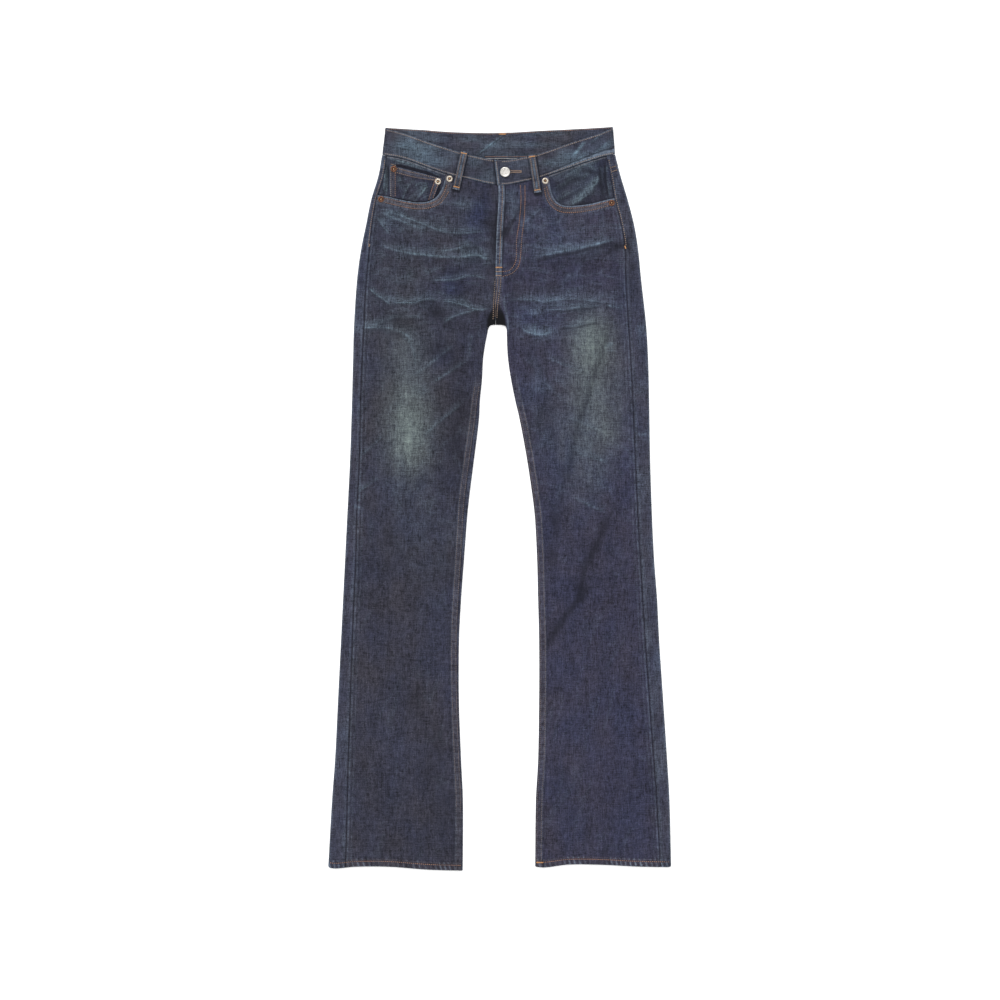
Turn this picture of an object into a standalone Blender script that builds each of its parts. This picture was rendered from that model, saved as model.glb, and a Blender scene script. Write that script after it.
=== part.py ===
"""Blue denim five-pocket jeans, laid flat on their back.

Tables and sizes are in millimetres, the meshes in metres. +Y runs to the waist and +Z up from
the surface they lie on. The front faces up, so the wearer's right side is at -X.
"""
import math

import bmesh
import bpy

MM = 0.001

# Driving sizes
WALL = 1.2                  # denim
LAID_HEIGHT = 4.8           # outer height of the flattened cloth tube
GAP = 0.3                   # between pieces at a seam
BAND_GAP = 0.5              # under the waistband's lower edge
HEM_DEPTH = 10.0            # folded hem at the ankle
HEM_WALL = 2.1
HEM_RISE = 0.8              # how much thicker the flattened tube is at the hem
BAND_WALL = 1.8             # waistband, two layers of denim
BAND_HEIGHT = 5.4           # outer height of the flattened waistband
LAP_RISE = 2.1              # left end of the waistband over the right end
LAP_END = 30.0              # where the right end stops under the left one
LAP_FADE = 62.0             # where the left end is down at band height again
FLY_RISE = 1.5              # left front over the right front at the fly
FLY_WIDTH = 18.0
FLY_FADE = 27.0
FLY_BOTTOM = 340.0
FACING_DROP = 1.5           # pocket facing below the front panel
FACING_TUCK = 5.0
COIN_WALL = 1.0
LOOP_WIDTH = 10.5
LOOP_WALL = 1.6
LOOP_BOW = 0.6
BACK_LOOP_WALL = 1.2
POCKET_WIDTH = 130.0        # back pocket at its top
POCKET_HEIGHT = 135.0
POCKET_TOP = 405.0
POCKET_TAPER = 8.0          # each side, from top to bottom corner
POCKET_POINT = 18.0         # depth of the pocket's pointed bottom
POCKET_OFFSET = 88.0        # pocket's middle from the centre back seam
POCKET_CLEAR = 19.0         # the panel lies at full height this far round a pocket
POCKET_FADE = 12.0
POCKET_END_SHARE = 1.3      # above and below it, these two are shorter by this
CENTRE_BACK = -3.0
RIVET_SIZE = 9.5
BUTTON_SIZE = 15.0

# Outline of the wearer's right leg, as distances from the middle line
RIGHT_LEG = {
    "y":       (515, 485, 448, 410, 373, 328, 260, 208, 148, 58, -32, -92, -152, -212, -302, -392, -452, -554),
    "outer":   (176.5, 182.5, 193, 200.5, 208, 214, 218.5, 220, 221.5, 224.5, 229, 232, 235, 238, 242.5,
                247, 251.5, 257.3),
    "outseam": (7, 8, 8, 9, 12.5, 14, 15, 14, 13, 14, 14.5, 16, 16.5, 17, 18.5, 20, 23, 26),
}
RIGHT_INSIDE = {
    "y":      (260, 245, 230, 208, 178, 148, 118, 58, -2, -32, -92, -152, -212, -302, -392, -452, -554),
    "inner":  (14.5, 19, 22, 25, 26.6, 29.6, 31.2, 38.6, 46.2, 49.1, 53.6, 58, 61, 61.2, 58, 55.2, 55.5),
    "inseam": (0, 0, 0, 0, 1.2, 3, 5, 6, 6, 5, 4, 3.4, 3, 2, 2, 2, 2),
}
# Outline of the wearer's left leg
LEFT_LEG = {
    "y":       (515, 485, 448, 410, 373, 328, 260, 208, 148, 58, -32, -92, -152, -212, -302, -392, -452, -554),
    "outer":   (173, 182, 192.5, 201.5, 207.5, 212, 219.5, 222.5, 224, 225.5, 228.5, 231.5, 236, 239, 245,
                251, 254.5, 257),
    "outseam": (13, 14.5, 19, 19, 19.5, 23, 26.5, 26, 24.5, 22, 21, 20.5, 21.5, 21, 20.5, 20, 19, 16),
}
LEFT_INSIDE = {
    "y":      (260, 245, 230, 208, 178, 148, 118, 58, -2, -32, -92, -152, -212, -302, -392, -452, -554),
    "inner":  (8, 10.6, 11, 12.5, 17, 23, 30, 41, 49.8, 53, 56, 57.5, 59, 59, 57.5, 54.2, 53),
    "inseam": (0, 0, 0, 0, .6, 1, 1, 1, 1, 1, 1, 1, 1, 1, 1, 1, 1),
}
# Edge where the two fronts meet, from the waist seam to the crotch
CENTRE_FRONT = {
    "y": (471, 448, 401, 361, 328, 290, 260),
    "x": (-2.2, -2.2, -4.9, -6.2, -6.6, -7.0, -6.0),
}
# Rows that turn round the crotch: height at the side and at the inner end, and where that lies
CROTCH_ROWS = (
    {"side_y": 262, "inner_y": 260.4, "right_x": -6.0, "left_x": -6.0},
    {"side_y": 256, "inner_y": 260.1, "right_x": -10.5, "left_x": 2.0},
    {"side_y": 251, "inner_y": 258.8, "right_x": -14.5, "left_x": 7.6},
    {"side_y": 246, "inner_y": 254.5, "right_x": -17.2, "left_x": 10.2},
    {"side_y": 240, "inner_y": 245.0, "right_x": -19.0, "left_x": 10.6},
    {"side_y": 232, "inner_y": 234.0, "right_x": -21.3, "left_x": 10.9},
)
CROTCH_DIP_START = 298.0    # the fronts sink towards the crotch from here
CROTCH_DIP_WIDTH = 12.0

# Upper edge of each front panel: the pocket mouth, then the waist seam, outseam first
RIGHT_FRONT_TOP = {
    "x": (-184, -164, -145.4, -127, -111, -99.4, -91.5, -86.5, -83, -80.5),
    "y": (455.0, 451.6, 447.3, 444.3, 444.6, 448.7, 456, 465, 475.5, 487),
}
LEFT_FRONT_TOP = {
    "x": (173, 158.3, 138.4, 118, 101.2, 90, 82, 77.5, 75.3, 73.5),
    "y": (450.8, 447.2, 442.2, 439.2, 438.4, 441.3, 448.4, 458.8, 470, 485),
}
# Waistband edges, front and back
FRONT_BAND = {
    "x":      (-176.3, -143, -104, -70.6, -50, 1, 43, 61, 115.3, 150, 173),
    "bottom": (515.2, 509.1, 494.9, 484.1, 479.4, 469.6, 476.3, 480.8, 499.5, 511, 516.2),
    "top":    (555.8, 547, 533.2, 522.6, 516.4, 507.0, 512.8, 517.4, 536.3, 547.2, 556.8),
}
BACK_BAND = {
    "x":      (-176.3, -120, -65.6, 0, 65, 120, 173),
    "bottom": (515.2, 512.8, 511, 510, 511, 513.6, 516.2),
    "top":    (556.2, 552.8, 549.2, 548.2, 551.6, 554.2, 557.4),
}
BAND_EDGE = {"right_top": -171.3, "right_bottom": -176.3, "left_top": 169.9, "left_bottom": 173.0}
YOKE_SIDE = 494.0           # yoke seam at the side
YOKE_CENTRE = 455.0         # yoke seam at the centre back

# Hem edge by share of the leg's width, side edge first
RIGHT_HEM = {"share": (0, .06, .2, .45, .75, 1), "y": (-553.6, -554.8, -552.2, -552.2, -556.6, -558.0)}
LEFT_HEM = {"share": (0, .25, .5, .75, .93, 1), "y": (-552.8, -551.9, -549.3, -548.9, -553.2, -552.0)}

# The largest creases of the hips: ends, sag of the middle, height and half width
FOLDS = (
    {"from": (-180, 428), "to": (-18, 403), "sag": -12, "rise": .8, "half": 8},
    {"from": (-178, 378), "to": (-18, 357), "sag": -4, "rise": .9, "half": 8},
    {"from": (-102, 326), "to": (-20, 328), "sag": -3, "rise": .6, "half": 7},
    {"from": (-170, 296), "to": (-24, 286), "sag": 5, "rise": .8, "half": 7},
    {"from": (-86, 262), "to": (-32, 281), "sag": 0, "rise": .6, "half": 7},
    {"from": (-196, 257), "to": (-109, 268), "sag": 4, "rise": .7, "half": 8},
    {"from": (-200, 252), "to": (-127, 233), "sag": 3, "rise": .6, "half": 8},
    {"from": (47, 361), "to": (182, 384), "sag": -3, "rise": .9, "half": 8},
    {"from": (14, 300), "to": (166, 293), "sag": -2, "rise": .7, "half": 7},
    {"from": (63, 281), "to": (158, 291), "sag": -3, "rise": .7, "half": 7},
    {"from": (33, 256), "to": (80, 250), "sag": -5, "rise": .6, "half": 7},
    {"from": (84, 257), "to": (152, 266), "sag": -4, "rise": .8, "half": 8},
    {"from": (38, 413), "to": (64, 432), "sag": 0, "rise": .5, "half": 7},
)

FRONT_LOOPS = (
    {"node": "belt_loop_front_right", "top": (-53.0, 519.6), "bottom": (-65.9, 461.5)},
    {"node": "belt_loop_front_left", "top": (48.1, 514.8), "bottom": (57.2, 457.5)},
)
BACK_LOOPS = (
    {"node": "belt_loop_back_right", "x": -115.0},
    {"node": "belt_loop_back_centre", "x": 4.0},
    {"node": "belt_loop_back_left", "x": 115.0},
)
COIN_POCKET = {"left_x": -165.3, "top_left": 500.3, "right_top": (-85.4, 479.3), "right_bottom": (-98.6, 448.4)}
RIVETS = (
    {"node": "rivet_coin_outer", "at": (-158.9, 493.8), "on": "coin", "metal": "copper"},
    {"node": "rivet_coin_inner", "at": (-92.6, 475.0), "on": "coin", "metal": "silver"},
    {"node": "rivet_mouth_right_inner", "at": (-75.2, 479.2), "on": "front", "metal": "silver"},
    {"node": "rivet_mouth_right_outer", "at": (-178.0, 448.6), "on": "front", "metal": "copper"},
    {"node": "rivet_mouth_left_inner", "at": (68.2, 476.1), "on": "front", "metal": "silver"},
    {"node": "rivet_mouth_left_outer", "at": (167.8, 443.0), "on": "front", "metal": "copper"},
)
BUTTON_AT = (8.0, 489.0)

# How finely the lofts are cut
ARC_STEPS = 2               # per quarter turn at a folded edge
FRONT_STEPS = 14            # across a front panel
BACK_STEPS = 9              # across a back panel
MOUTH_ROWS = 6              # between the pocket mouth and the first straight row
HIP_ROW = 9.5
BACK_HIP_ROW = 14.0
LEG_ROW = 56.0
FIRST_STRAIGHT = 410.0      # first straight row of a front panel
BACK_FIRST_STRAIGHT = 432.0
YOKE_ROWS = 3
YOKE_FAN = 5                # rows between the yoke seam and the first straight row
ROLL_STEPS = 4              # round the inner edge of a back panel
# Columns bunch where the pocket mouth is steep: share of the columns against share of the width
COLUMN_SHARE = ((0, 0), (.36, .45), (.64, .58), (1, 1))


# ---------------------------------------------------------------- small numbers
def smooth(value):
    """Ease from 0 to 1."""
    value = max(0.0, min(1.0, value))
    return value * value * (3 - 2 * value)


def mix(first, second, share):
    return first + (second - first) * share


def curve_value(places, values, place):
    """Value on the smooth curve through a table's points, held at its ends."""
    if places[0] > places[-1]:
        places, values = places[::-1], values[::-1]
    if place <= places[0]:
        return values[0]
    if place >= places[-1]:
        return values[-1]
    last = len(places) - 1
    i = next(k for k in range(last) if place <= places[k + 1])
    slopes = []
    for k in (i, i + 1):
        low, high = max(k - 1, 0), min(k + 1, last)
        slopes.append((values[high] - values[low]) / (places[high] - places[low]))
    span = places[i + 1] - places[i]
    t = (place - places[i]) / span
    rise = values[i + 1] - values[i]
    return (values[i] + rise * t * t * (3 - 2 * t)
            + span * (slopes[0] * t * (1 - t) ** 2 - slopes[1] * t * t * (1 - t)))


def straight_value(pairs, place):
    """Value on the straight runs between pairs."""
    for (x0, y0), (x1, y1) in zip(pairs, pairs[1:]):
        if place <= x1:
            return mix(y0, y1, (place - x0) / (x1 - x0))
    return pairs[-1][1]


def spaced(start, stop, step):
    """Places from start to stop, both kept, about a step apart."""
    count = max(1, round(abs(stop - start) / step))
    return [mix(start, stop, k / count) for k in range(count + 1)]


# ---------------------------------------------------------------- the laid cloth
def centre_front(y):
    return curve_value(CENTRE_FRONT["y"], CENTRE_FRONT["x"], y)


def front_seam(x):
    """Waist seam on the front."""
    return curve_value(FRONT_BAND["x"], FRONT_BAND["bottom"], x)


def back_seam(x):
    """Waist seam on the back."""
    return curve_value(BACK_BAND["x"], BACK_BAND["bottom"], x)


def front_top(side, x):
    """Upper edge of a front panel: pocket mouth, then waist seam."""
    table = RIGHT_FRONT_TOP if side < 0 else LEFT_FRONT_TOP
    seam = front_seam(x) - BAND_GAP
    if abs(x) <= abs(table["x"][-1]):
        return seam
    return min(seam, curve_value(table["x"], table["y"], x))


def fold_rise(x, y):
    """Height that the hip creases add to the upper cloth."""
    total = 0.0
    for fold in FOLDS:
        (x0, y0), (x1, y1) = fold["from"], fold["to"]
        length = math.hypot(x1 - x0, y1 - y0)
        along = ((x - x0) * (x1 - x0) + (y - y0) * (y1 - y0)) / length ** 2
        off = ((x1 - x0) * (y - y0) - (y1 - y0) * (x - x0)) / length
        off -= fold["sag"] * 4 * along * (1 - along)
        fade = smooth(along / .25) * smooth((1 - along) / .25)
        total += fold["rise"] * fade * math.exp(-(off / fold["half"]) ** 2)
    return min(total, 1.0)


def fly_rise(x, y):
    """Height of the left front over the right one at the fly."""
    away = x - centre_front(y)
    return FLY_RISE * smooth((y - FLY_BOTTOM + 20) / 12) * smooth((FLY_FADE - away) / (FLY_FADE - FLY_WIDTH - 2))


def fly_tongue(y):
    """How far the right front runs on under the left one at the fly."""
    return (FLY_WIDTH - 3) * smooth((y - FLY_BOTTOM) / 20)


def pocket_edge_distance(side, x, y):
    """Distance outside a back pocket's box, 0 inside it."""
    beyond_x = abs(x - CENTRE_BACK - side * POCKET_OFFSET) - POCKET_WIDTH / 2
    beyond_y = max(y - POCKET_TOP, POCKET_TOP - POCKET_HEIGHT - y)
    return math.hypot(max(beyond_x, 0), max(beyond_y, 0) * POCKET_END_SHARE)


def pocket_rise(x, y):
    """Height of the back panel over the pocket that it lies on."""
    away = min(pocket_edge_distance(side, x, y) for side in (-1, 1))
    return (BACK_LOOP_WALL + GAP) * smooth((POCKET_CLEAR + POCKET_FADE - away) / POCKET_FADE)


def centre_back(y):
    return mix(CENTRE_BACK, CROTCH_ROWS[0]["right_x"], smooth((330 - y) / 50))


def cloth_row(side, side_y, inner_y=None, inner_x=None):
    """One section through half of the hips, or through a leg, with its sizes."""
    leg, inside = (RIGHT_LEG, RIGHT_INSIDE) if side < 0 else (LEFT_LEG, LEFT_INSIDE)
    if inner_x is None:
        inner_x = side * curve_value(inside["y"], inside["inner"], side_y)
    sink = smooth((CROTCH_DIP_START - side_y) / (CROTCH_DIP_START - CROTCH_ROWS[0]["side_y"]))
    spread = smooth((side_y - 205) / 40)
    return {
        "side": side,
        "side_y": side_y,
        "inner_y": side_y if inner_y is None else inner_y,
        "outer": side * curve_value(leg["y"], leg["outer"], side_y),
        "inner": inner_x,
        "outseam": curve_value(leg["y"], leg["outseam"], side_y),
        "inseam": max(0.0, curve_value(inside["y"], inside["inseam"], side_y)),
        "dip": sink,
        "dip_width": mix(LAID_HEIGHT / 2, CROTCH_DIP_WIDTH, sink * spread),
        "height": LAID_HEIGHT,
        "wall": WALL,
        "bend": lambda x, y: y,
    }


def loop_point(row, turn):
    """Outer and inner point of the cloth tube.

    turn 0 is the outer edge, 1 to 2 the flat top and 3 the inner edge. Values below zero run
    along the underside, and past -3 up the inner edge again.
    """
    radius = row["height"] / 2
    top = turn >= 0 or turn <= -3
    place = 6 + turn if turn <= -3 else abs(turn)
    reach = row["dip_width"] if top else radius
    width = abs(row["inner"] - row["outer"])
    if place < 1:
        angle = place * math.pi / 2
        across, height = radius * (1 - math.cos(angle)), radius * (1 + math.sin(angle))
        lean = (-math.cos(angle), math.sin(angle))
    elif place < 2:
        across, height = mix(radius, width - reach, place - 1), 2 * radius
        lean = (0.0, 1.0)
    else:
        angle = (place - 2) * math.pi / 2
        across = width - reach + reach * math.sin(angle)
        height = 2 * radius - row["dip"] * radius * (1 - math.cos(angle))
        lean = (math.sin(angle * row["dip"]), math.cos(angle * row["dip"]))
    toward = 1 if row["inner"] > row["outer"] else -1
    x = row["outer"] + toward * across
    y = row["bend"](x, mix(row["side_y"], row["inner_y"], across / width))
    if top:
        height += fold_rise(x, y) * smooth((across - radius) / 8)
        if row["side"] > 0 and turn > 0:
            height += fly_rise(x, y)
    else:
        clear = 1 - row["dip"] * (1 - smooth((width - across - 3) / 16))
        height = 2 * radius - height + pocket_rise(x, y) * clear * (place >= 1)
        lean = (lean[0], -lean[1])
    inner_x = x - toward * lean[0] * row["wall"]
    return (x, y, height), (inner_x, y, height - lean[1] * row["wall"])


def seam_turns(row):
    """Where the outseam and the inseam lie on the tube, and half a seam gap there."""
    radius = row["height"] / 2
    flat = abs(row["inner"] - row["outer"]) - radius - row["dip_width"]
    outseam = 1 + (row["outseam"] - radius) / flat
    if row["inseam"] >= row["dip_width"]:
        inseam, inner_gap = 2 - (row["inseam"] - row["dip_width"]) / flat, GAP / 2 / flat
    else:
        inseam = 2 + math.asin(1 - row["inseam"] / row["dip_width"]) / (math.pi / 2)
        inner_gap = GAP / 2 / (radius * math.pi / 2)
    return outseam, GAP / 2 / flat, inseam, inner_gap


def front_turns(row):
    """Places of a front panel's columns, outseam first."""
    outseam, gap, inseam, inner_gap = seam_turns(row)
    start, end = outseam + gap, inseam - inner_gap

    def steps(turn):
        return FRONT_STEPS * (turn - 1) if turn < 2 else FRONT_STEPS + ARC_STEPS * (turn - 2)

    turns = []
    total = FRONT_STEPS + ARC_STEPS
    for k in range(total + 1):
        place = mix(steps(start), steps(end), k / total)
        if place < FRONT_STEPS:
            turns.append(1 + straight_value(COLUMN_SHARE, place / FRONT_STEPS))
        else:
            turns.append(2 + (place - FRONT_STEPS) / ARC_STEPS)
    turns[0], turns[-1] = start, end
    return turns


def back_turns(row):
    """Places of a back panel's columns, from the outseam round the side and underneath."""
    outseam, gap, inseam, inner_gap = seam_turns(row)
    start, end = outseam - gap, inseam - 6 + inner_gap
    turns = [start, mix(start, 1, .5)]
    turns += [1 - k / ARC_STEPS for k in range(2 * ARC_STEPS)]
    turns += [-1 - k / BACK_STEPS for k in range(BACK_STEPS)]
    rolled = -3.9 if end < -3.95 else mix(-2, end, .8)
    turns += [mix(-2, rolled, k / ROLL_STEPS) for k in range(ROLL_STEPS + 1)]
    return turns + [end]


# ---------------------------------------------------------------- meshes
def finish(name, color, roughness, metallic=0.0):
    """A piece's own material."""
    material = bpy.data.materials.new(name)
    material.use_nodes = True
    shader = material.node_tree.nodes["Principled BSDF"]
    shader.inputs["Base Color"].default_value = (*color, 1.0)
    shader.inputs["Roughness"].default_value = roughness
    shader.inputs["Metallic"].default_value = metallic
    return material


DENIM = (0.045, 0.052, 0.085)
FADED_DENIM = (0.060, 0.075, 0.110)
SILVER = (0.62, 0.60, 0.56)
COPPER = (0.45, 0.24, 0.15)


def add_object(name, mesh, color, roughness=0.9, metallic=0.0):
    piece = bpy.data.objects.new(name, mesh)
    piece.data.materials.append(finish(name + "_finish", color, roughness, metallic))
    bpy.data.collections["jeans"].objects.link(piece)
    return piece


def loft(name, outer, inner, color=DENIM):
    """Closed cloth wall between an outer and an inner grid of points in millimetres."""
    mesh = bpy.data.meshes.new(name)
    cloth = bmesh.new()
    sheets = []
    for grid in (outer, inner):
        sheets.append([[cloth.verts.new([c * MM for c in point]) for point in line] for line in grid])
    rows, columns = len(outer), len(outer[0])
    for sheet in sheets:
        for i in range(rows - 1):
            for j in range(columns - 1):
                cloth.faces.new((sheet[i][j], sheet[i][j + 1], sheet[i + 1][j + 1], sheet[i + 1][j]))
    rim = [(0, j) for j in range(columns)] + [(i, columns - 1) for i in range(1, rows)]
    rim += [(rows - 1, j) for j in range(columns - 2, -1, -1)] + [(i, 0) for i in range(rows - 2, 0, -1)]
    for (i, j), (k, m) in zip(rim, rim[1:] + rim[:1]):
        cloth.faces.new((sheets[0][i][j], sheets[0][k][m], sheets[1][k][m], sheets[1][i][j]))
    bmesh.ops.recalc_face_normals(cloth, faces=cloth.faces)
    cloth.to_mesh(mesh)
    cloth.free()
    mesh.shade_smooth()
    mesh.set_sharp_from_angle(angle=math.radians(40))
    return add_object(name, mesh, color)


def turned(name, profile, steps, centre, color, roughness):
    """A round piece from its profile, top to bottom, standing on the cloth."""
    mesh = bpy.data.meshes.new(name)
    points = [(radius * MM, 0.0, height * MM) for radius, height in profile]
    mesh.from_pydata(points, [(k, k + 1) for k in range(len(points) - 1)], [])
    piece = add_object(name, mesh, color, roughness, 1.0)
    piece.location = [c * MM for c in centre]
    screw = piece.modifiers.new("turn", "SCREW")
    screw.steps = screw.render_steps = steps
    screw.use_merge_vertices = True
    screw.merge_threshold = 0.00001
    screw.use_smooth_shade = True
    return piece


# ---------------------------------------------------------------- leg panels
def hem_line(side, share):
    table = RIGHT_HEM if side < 0 else LEFT_HEM
    return curve_value(table["share"], table["y"], max(0.0, min(1.0, share)))


def leg_rows(side, first, hip_step, middle):
    """Rows from the first straight one to the hem; middle gives the seam between the halves."""
    rows = []
    for y in spaced(first, CROTCH_ROWS[0]["side_y"] + hip_step, hip_step):
        rows.append(cloth_row(side, y, inner_x=middle(y)))
    for turn in CROTCH_ROWS:
        inner_x = turn["right_x"] if side < 0 else turn["left_x"]
        if turn is CROTCH_ROWS[0]:
            inner_x += side * GAP / 2
        rows.append(cloth_row(side, turn["side_y"], turn["inner_y"], inner_x))
    for y in [222, 208] + spaced(178, -500, LEG_ROW):
        rows.append(cloth_row(side, y))
    for up in (HEM_DEPTH + 3, HEM_DEPTH, 0):
        row = cloth_row(side, hem_line(side, 0) + up)
        row["bend"] = hem_bend(row, up)
        if up <= HEM_DEPTH:
            row["height"] = LAID_HEIGHT + HEM_RISE
            row["dip_width"] = row["height"] / 2
            row["wall"] = HEM_WALL
        rows.append(row)
    return rows


def hem_bend(row, up):
    """Lays a row along the hem edge, a little way up from it."""
    return lambda x, y: hem_line(row["side"], (x - row["outer"]) / (row["inner"] - row["outer"])) + up


def mouth_bend(side, share):
    """Eases rows from the pocket mouth and waist seam to the first straight row."""
    return lambda x, y: mix(front_top(side, x), FIRST_STRAIGHT, share)


def yoke_seam(row, x):
    """Yoke seam of a row's side, higher at the outer edge than at the centre back."""
    return mix(YOKE_SIDE, YOKE_CENTRE, (x - row["outer"]) / (row["inner"] - row["outer"]))


def yoke_bend(row, share):
    """Eases rows from under the yoke seam to the first straight row of the back."""
    return lambda x, y: mix(yoke_seam(row, x) - GAP, BACK_FIRST_STRAIGHT, share)


def seam_line(side):
    """Table of the outseam's distance from the middle line."""
    leg = RIGHT_LEG if side < 0 else LEFT_LEG
    return leg["y"], tuple(edge - inset for edge, inset in zip(leg["outer"], leg["outseam"]))


def cloth(name, rows, turns, color=None):
    """Loft through the rows, with columns at the places that turns gives for each."""
    lines = [[loop_point(row, turn) for turn in turns(row)] for row in rows]
    outer = [[pair[0] for pair in line] for line in lines]
    inner = [[pair[1] for pair in line] for line in lines]
    return loft(name, outer, inner, color or DENIM)


def front_panel(side, name):

    def middle(y):
        return centre_front(y) + side * GAP / 2 + (fly_tongue(y) if side < 0 else 0.0)

    rows = []
    mouth_side = front_top(side, side * curve_value(*seam_line(side), 455.0))
    for k in range(MOUTH_ROWS):
        share = k / MOUTH_ROWS
        row = cloth_row(side, mix(mouth_side, FIRST_STRAIGHT, share), inner_x=middle(mix(470.0, FIRST_STRAIGHT, share)))
        row["bend"] = mouth_bend(side, share)
        rows.append(row)
    rows += leg_rows(side, FIRST_STRAIGHT, HIP_ROW, middle)
    return cloth(name, rows, front_turns)


def back_panel(side, name):

    def middle(y):
        return centre_back(y) + side * GAP / 2

    rows = []
    for k in range(YOKE_FAN):
        share = k / YOKE_FAN
        row = cloth_row(side, mix(YOKE_SIDE, BACK_FIRST_STRAIGHT, share), inner_x=middle(YOKE_SIDE))
        row["bend"] = yoke_bend(row, share)
        rows.append(row)
    rows += leg_rows(side, BACK_FIRST_STRAIGHT, BACK_HIP_ROW, middle)
    return cloth(name, rows, back_turns)


def yoke(side, name):
    outer, inner = [], []
    for k in range(YOKE_ROWS + 1):
        share = k / YOKE_ROWS
        row = cloth_row(side, mix(515.0, YOKE_SIDE, share), inner_x=CENTRE_BACK + side * GAP / 2)
        pairs = []
        for turn in back_turns(row):
            seam = front_seam if turn > 0 else back_seam
            row["bend"] = lambda x, y: mix(seam(x) - BAND_GAP, yoke_seam(row, x), share)
            pairs.append(loop_point(row, turn))
        outer.append([pair[0] for pair in pairs])
        inner.append([pair[1] for pair in pairs])
    return loft(name, outer, inner)


# ---------------------------------------------------------------- waistband
def lap_rise(x):
    return LAP_RISE * smooth((LAP_FADE - x) / (LAP_FADE - LAP_END - 3))


def back_loop_rise(x):
    away = min(abs(x - loop["x"]) for loop in BACK_LOOPS)
    return (BACK_LOOP_WALL + GAP) * smooth((14 - away) / 6)


def band_station(x_top, x_bottom, y_top, y_bottom, height, inward):
    """A cut across the waistband: outer points and inner points, top edge first."""
    outer, inner = [], []
    for k in range(4):
        share = k / 3
        x, y = mix(x_top, x_bottom, share), mix(y_top, y_bottom, share)
        outer.append((x, y, height))
        inner.append((x, y, height + inward * BAND_WALL))
    return outer, inner


def band_fold(side):
    """Stations round the side edge of the waistband, front to back."""
    key = "right" if side < 0 else "left"
    top, bottom = BAND_EDGE[key + "_top"], BAND_EDGE[key + "_bottom"]
    radius = BAND_HEIGHT / 2
    stations = []
    for k in range(2 * ARC_STEPS + 3):
        angle = math.pi / 2 - math.pi * k / (2 * ARC_STEPS + 2)
        share = k / (2 * ARC_STEPS + 2)
        y_top = mix(curve_value(FRONT_BAND["x"], FRONT_BAND["top"], side * 999),
                    curve_value(BACK_BAND["x"], BACK_BAND["top"], side * 999), share)
        y_bottom = curve_value(BACK_BAND["x"], BACK_BAND["bottom"], side * 999)
        grids = []
        for bend in (radius, radius - BAND_WALL):
            line = []
            for m in range(4):
                edge = mix(top, bottom, m / 3)
                line.append((edge - side * radius + side * bend * math.cos(angle),
                             mix(y_top, y_bottom, m / 3), radius + bend * math.sin(angle)))
            grids.append(line)
        stations.append(tuple(grids))
    return stations


def front_station(x, rise):
    y_top = curve_value(FRONT_BAND["x"], FRONT_BAND["top"], x)
    return band_station(x, x, y_top, front_seam(x), BAND_HEIGHT + rise, -1)


def waistband():
    stations = [band_station(-8.2, -3.6, 507.0, 470.0, BAND_HEIGHT + LAP_RISE, -1)]
    for x in [6, 20, LAP_END + 2, 39, 46, 54, LAP_FADE] + spaced(78, 160, 14):
        stations.append(front_station(x, lap_rise(x)))
    stations += band_fold(1)
    places = set(spaced(150, -152, 30))
    for loop in BACK_LOOPS:
        places = {x for x in places if abs(x - loop["x"]) > 20}
        places |= {loop["x"] + offset for offset in (-14, -8, 8, 14)}
    for x in sorted(places, reverse=True):
        y_top = curve_value(BACK_BAND["x"], BACK_BAND["top"], x)
        stations.append(band_station(x, x, y_top, back_seam(x), back_loop_rise(x), 1))
    stations += band_fold(-1)[::-1]
    for x in spaced(-162, LAP_END, 14):
        stations.append(front_station(x, 0.0))
    return loft("waistband", [s[0] for s in stations], [s[1] for s in stations], FADED_DENIM)


# ---------------------------------------------------------------- what lies on the panels
def front_height(x, y):
    """Top of the cloth on the front at a place, the waistband included."""
    panel = LAID_HEIGHT + fold_rise(x, y)
    if x > centre_front(y):
        panel += fly_rise(x, y)
    band = BAND_HEIGHT + (lap_rise(x) if x > -9 else 0.0)
    return mix(panel, band, smooth((y - front_seam(x) + 3.5) / 3))


def pocket_facing(side, name):
    edge_y, edge_x = seam_line(side)
    outer, inner = [], []
    columns = 9
    for j in range(columns + 1):
        line_out, line_in = [], []
        for i in range(5):
            down = i / 4
            start = side * (curve_value(edge_y, edge_x, mix(513, 452, down)) - .6)
            x = mix(start, side * 70.0, straight_value(((0, 0), (.5, .7), (1, 1)), j / columns))
            low = front_top(side, x + side * 8) - FACING_TUCK
            y = mix(front_seam(x) - BAND_GAP, low, down)
            line_out.append((x, y, LAID_HEIGHT - FACING_DROP))
            line_in.append((x, y, LAID_HEIGHT - FACING_DROP - WALL))
        outer.append(line_out)
        inner.append(line_in)
    return loft(name, outer, inner, FADED_DENIM)


def coin_pocket():
    sizes = COIN_POCKET
    base = LAID_HEIGHT - FACING_DROP + GAP
    outer, inner = [], []
    for j in range(8):
        across = j / 7
        line_out, line_in = [], []
        for i in range(5):
            down = i / 4
            right = mix(sizes["right_top"][0], sizes["right_bottom"][0], down)
            x = mix(sizes["left_x"], right, across)
            top = mix(sizes["top_left"], sizes["right_top"][1], across)
            y = mix(top, front_top(-1, x) + 1.2, down)
            line_out.append((x, y, base + COIN_WALL))
            line_in.append((x, y, base))
        outer.append(line_out)
        inner.append(line_in)
    return loft("coin_pocket", outer, inner, FADED_DENIM)


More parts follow.
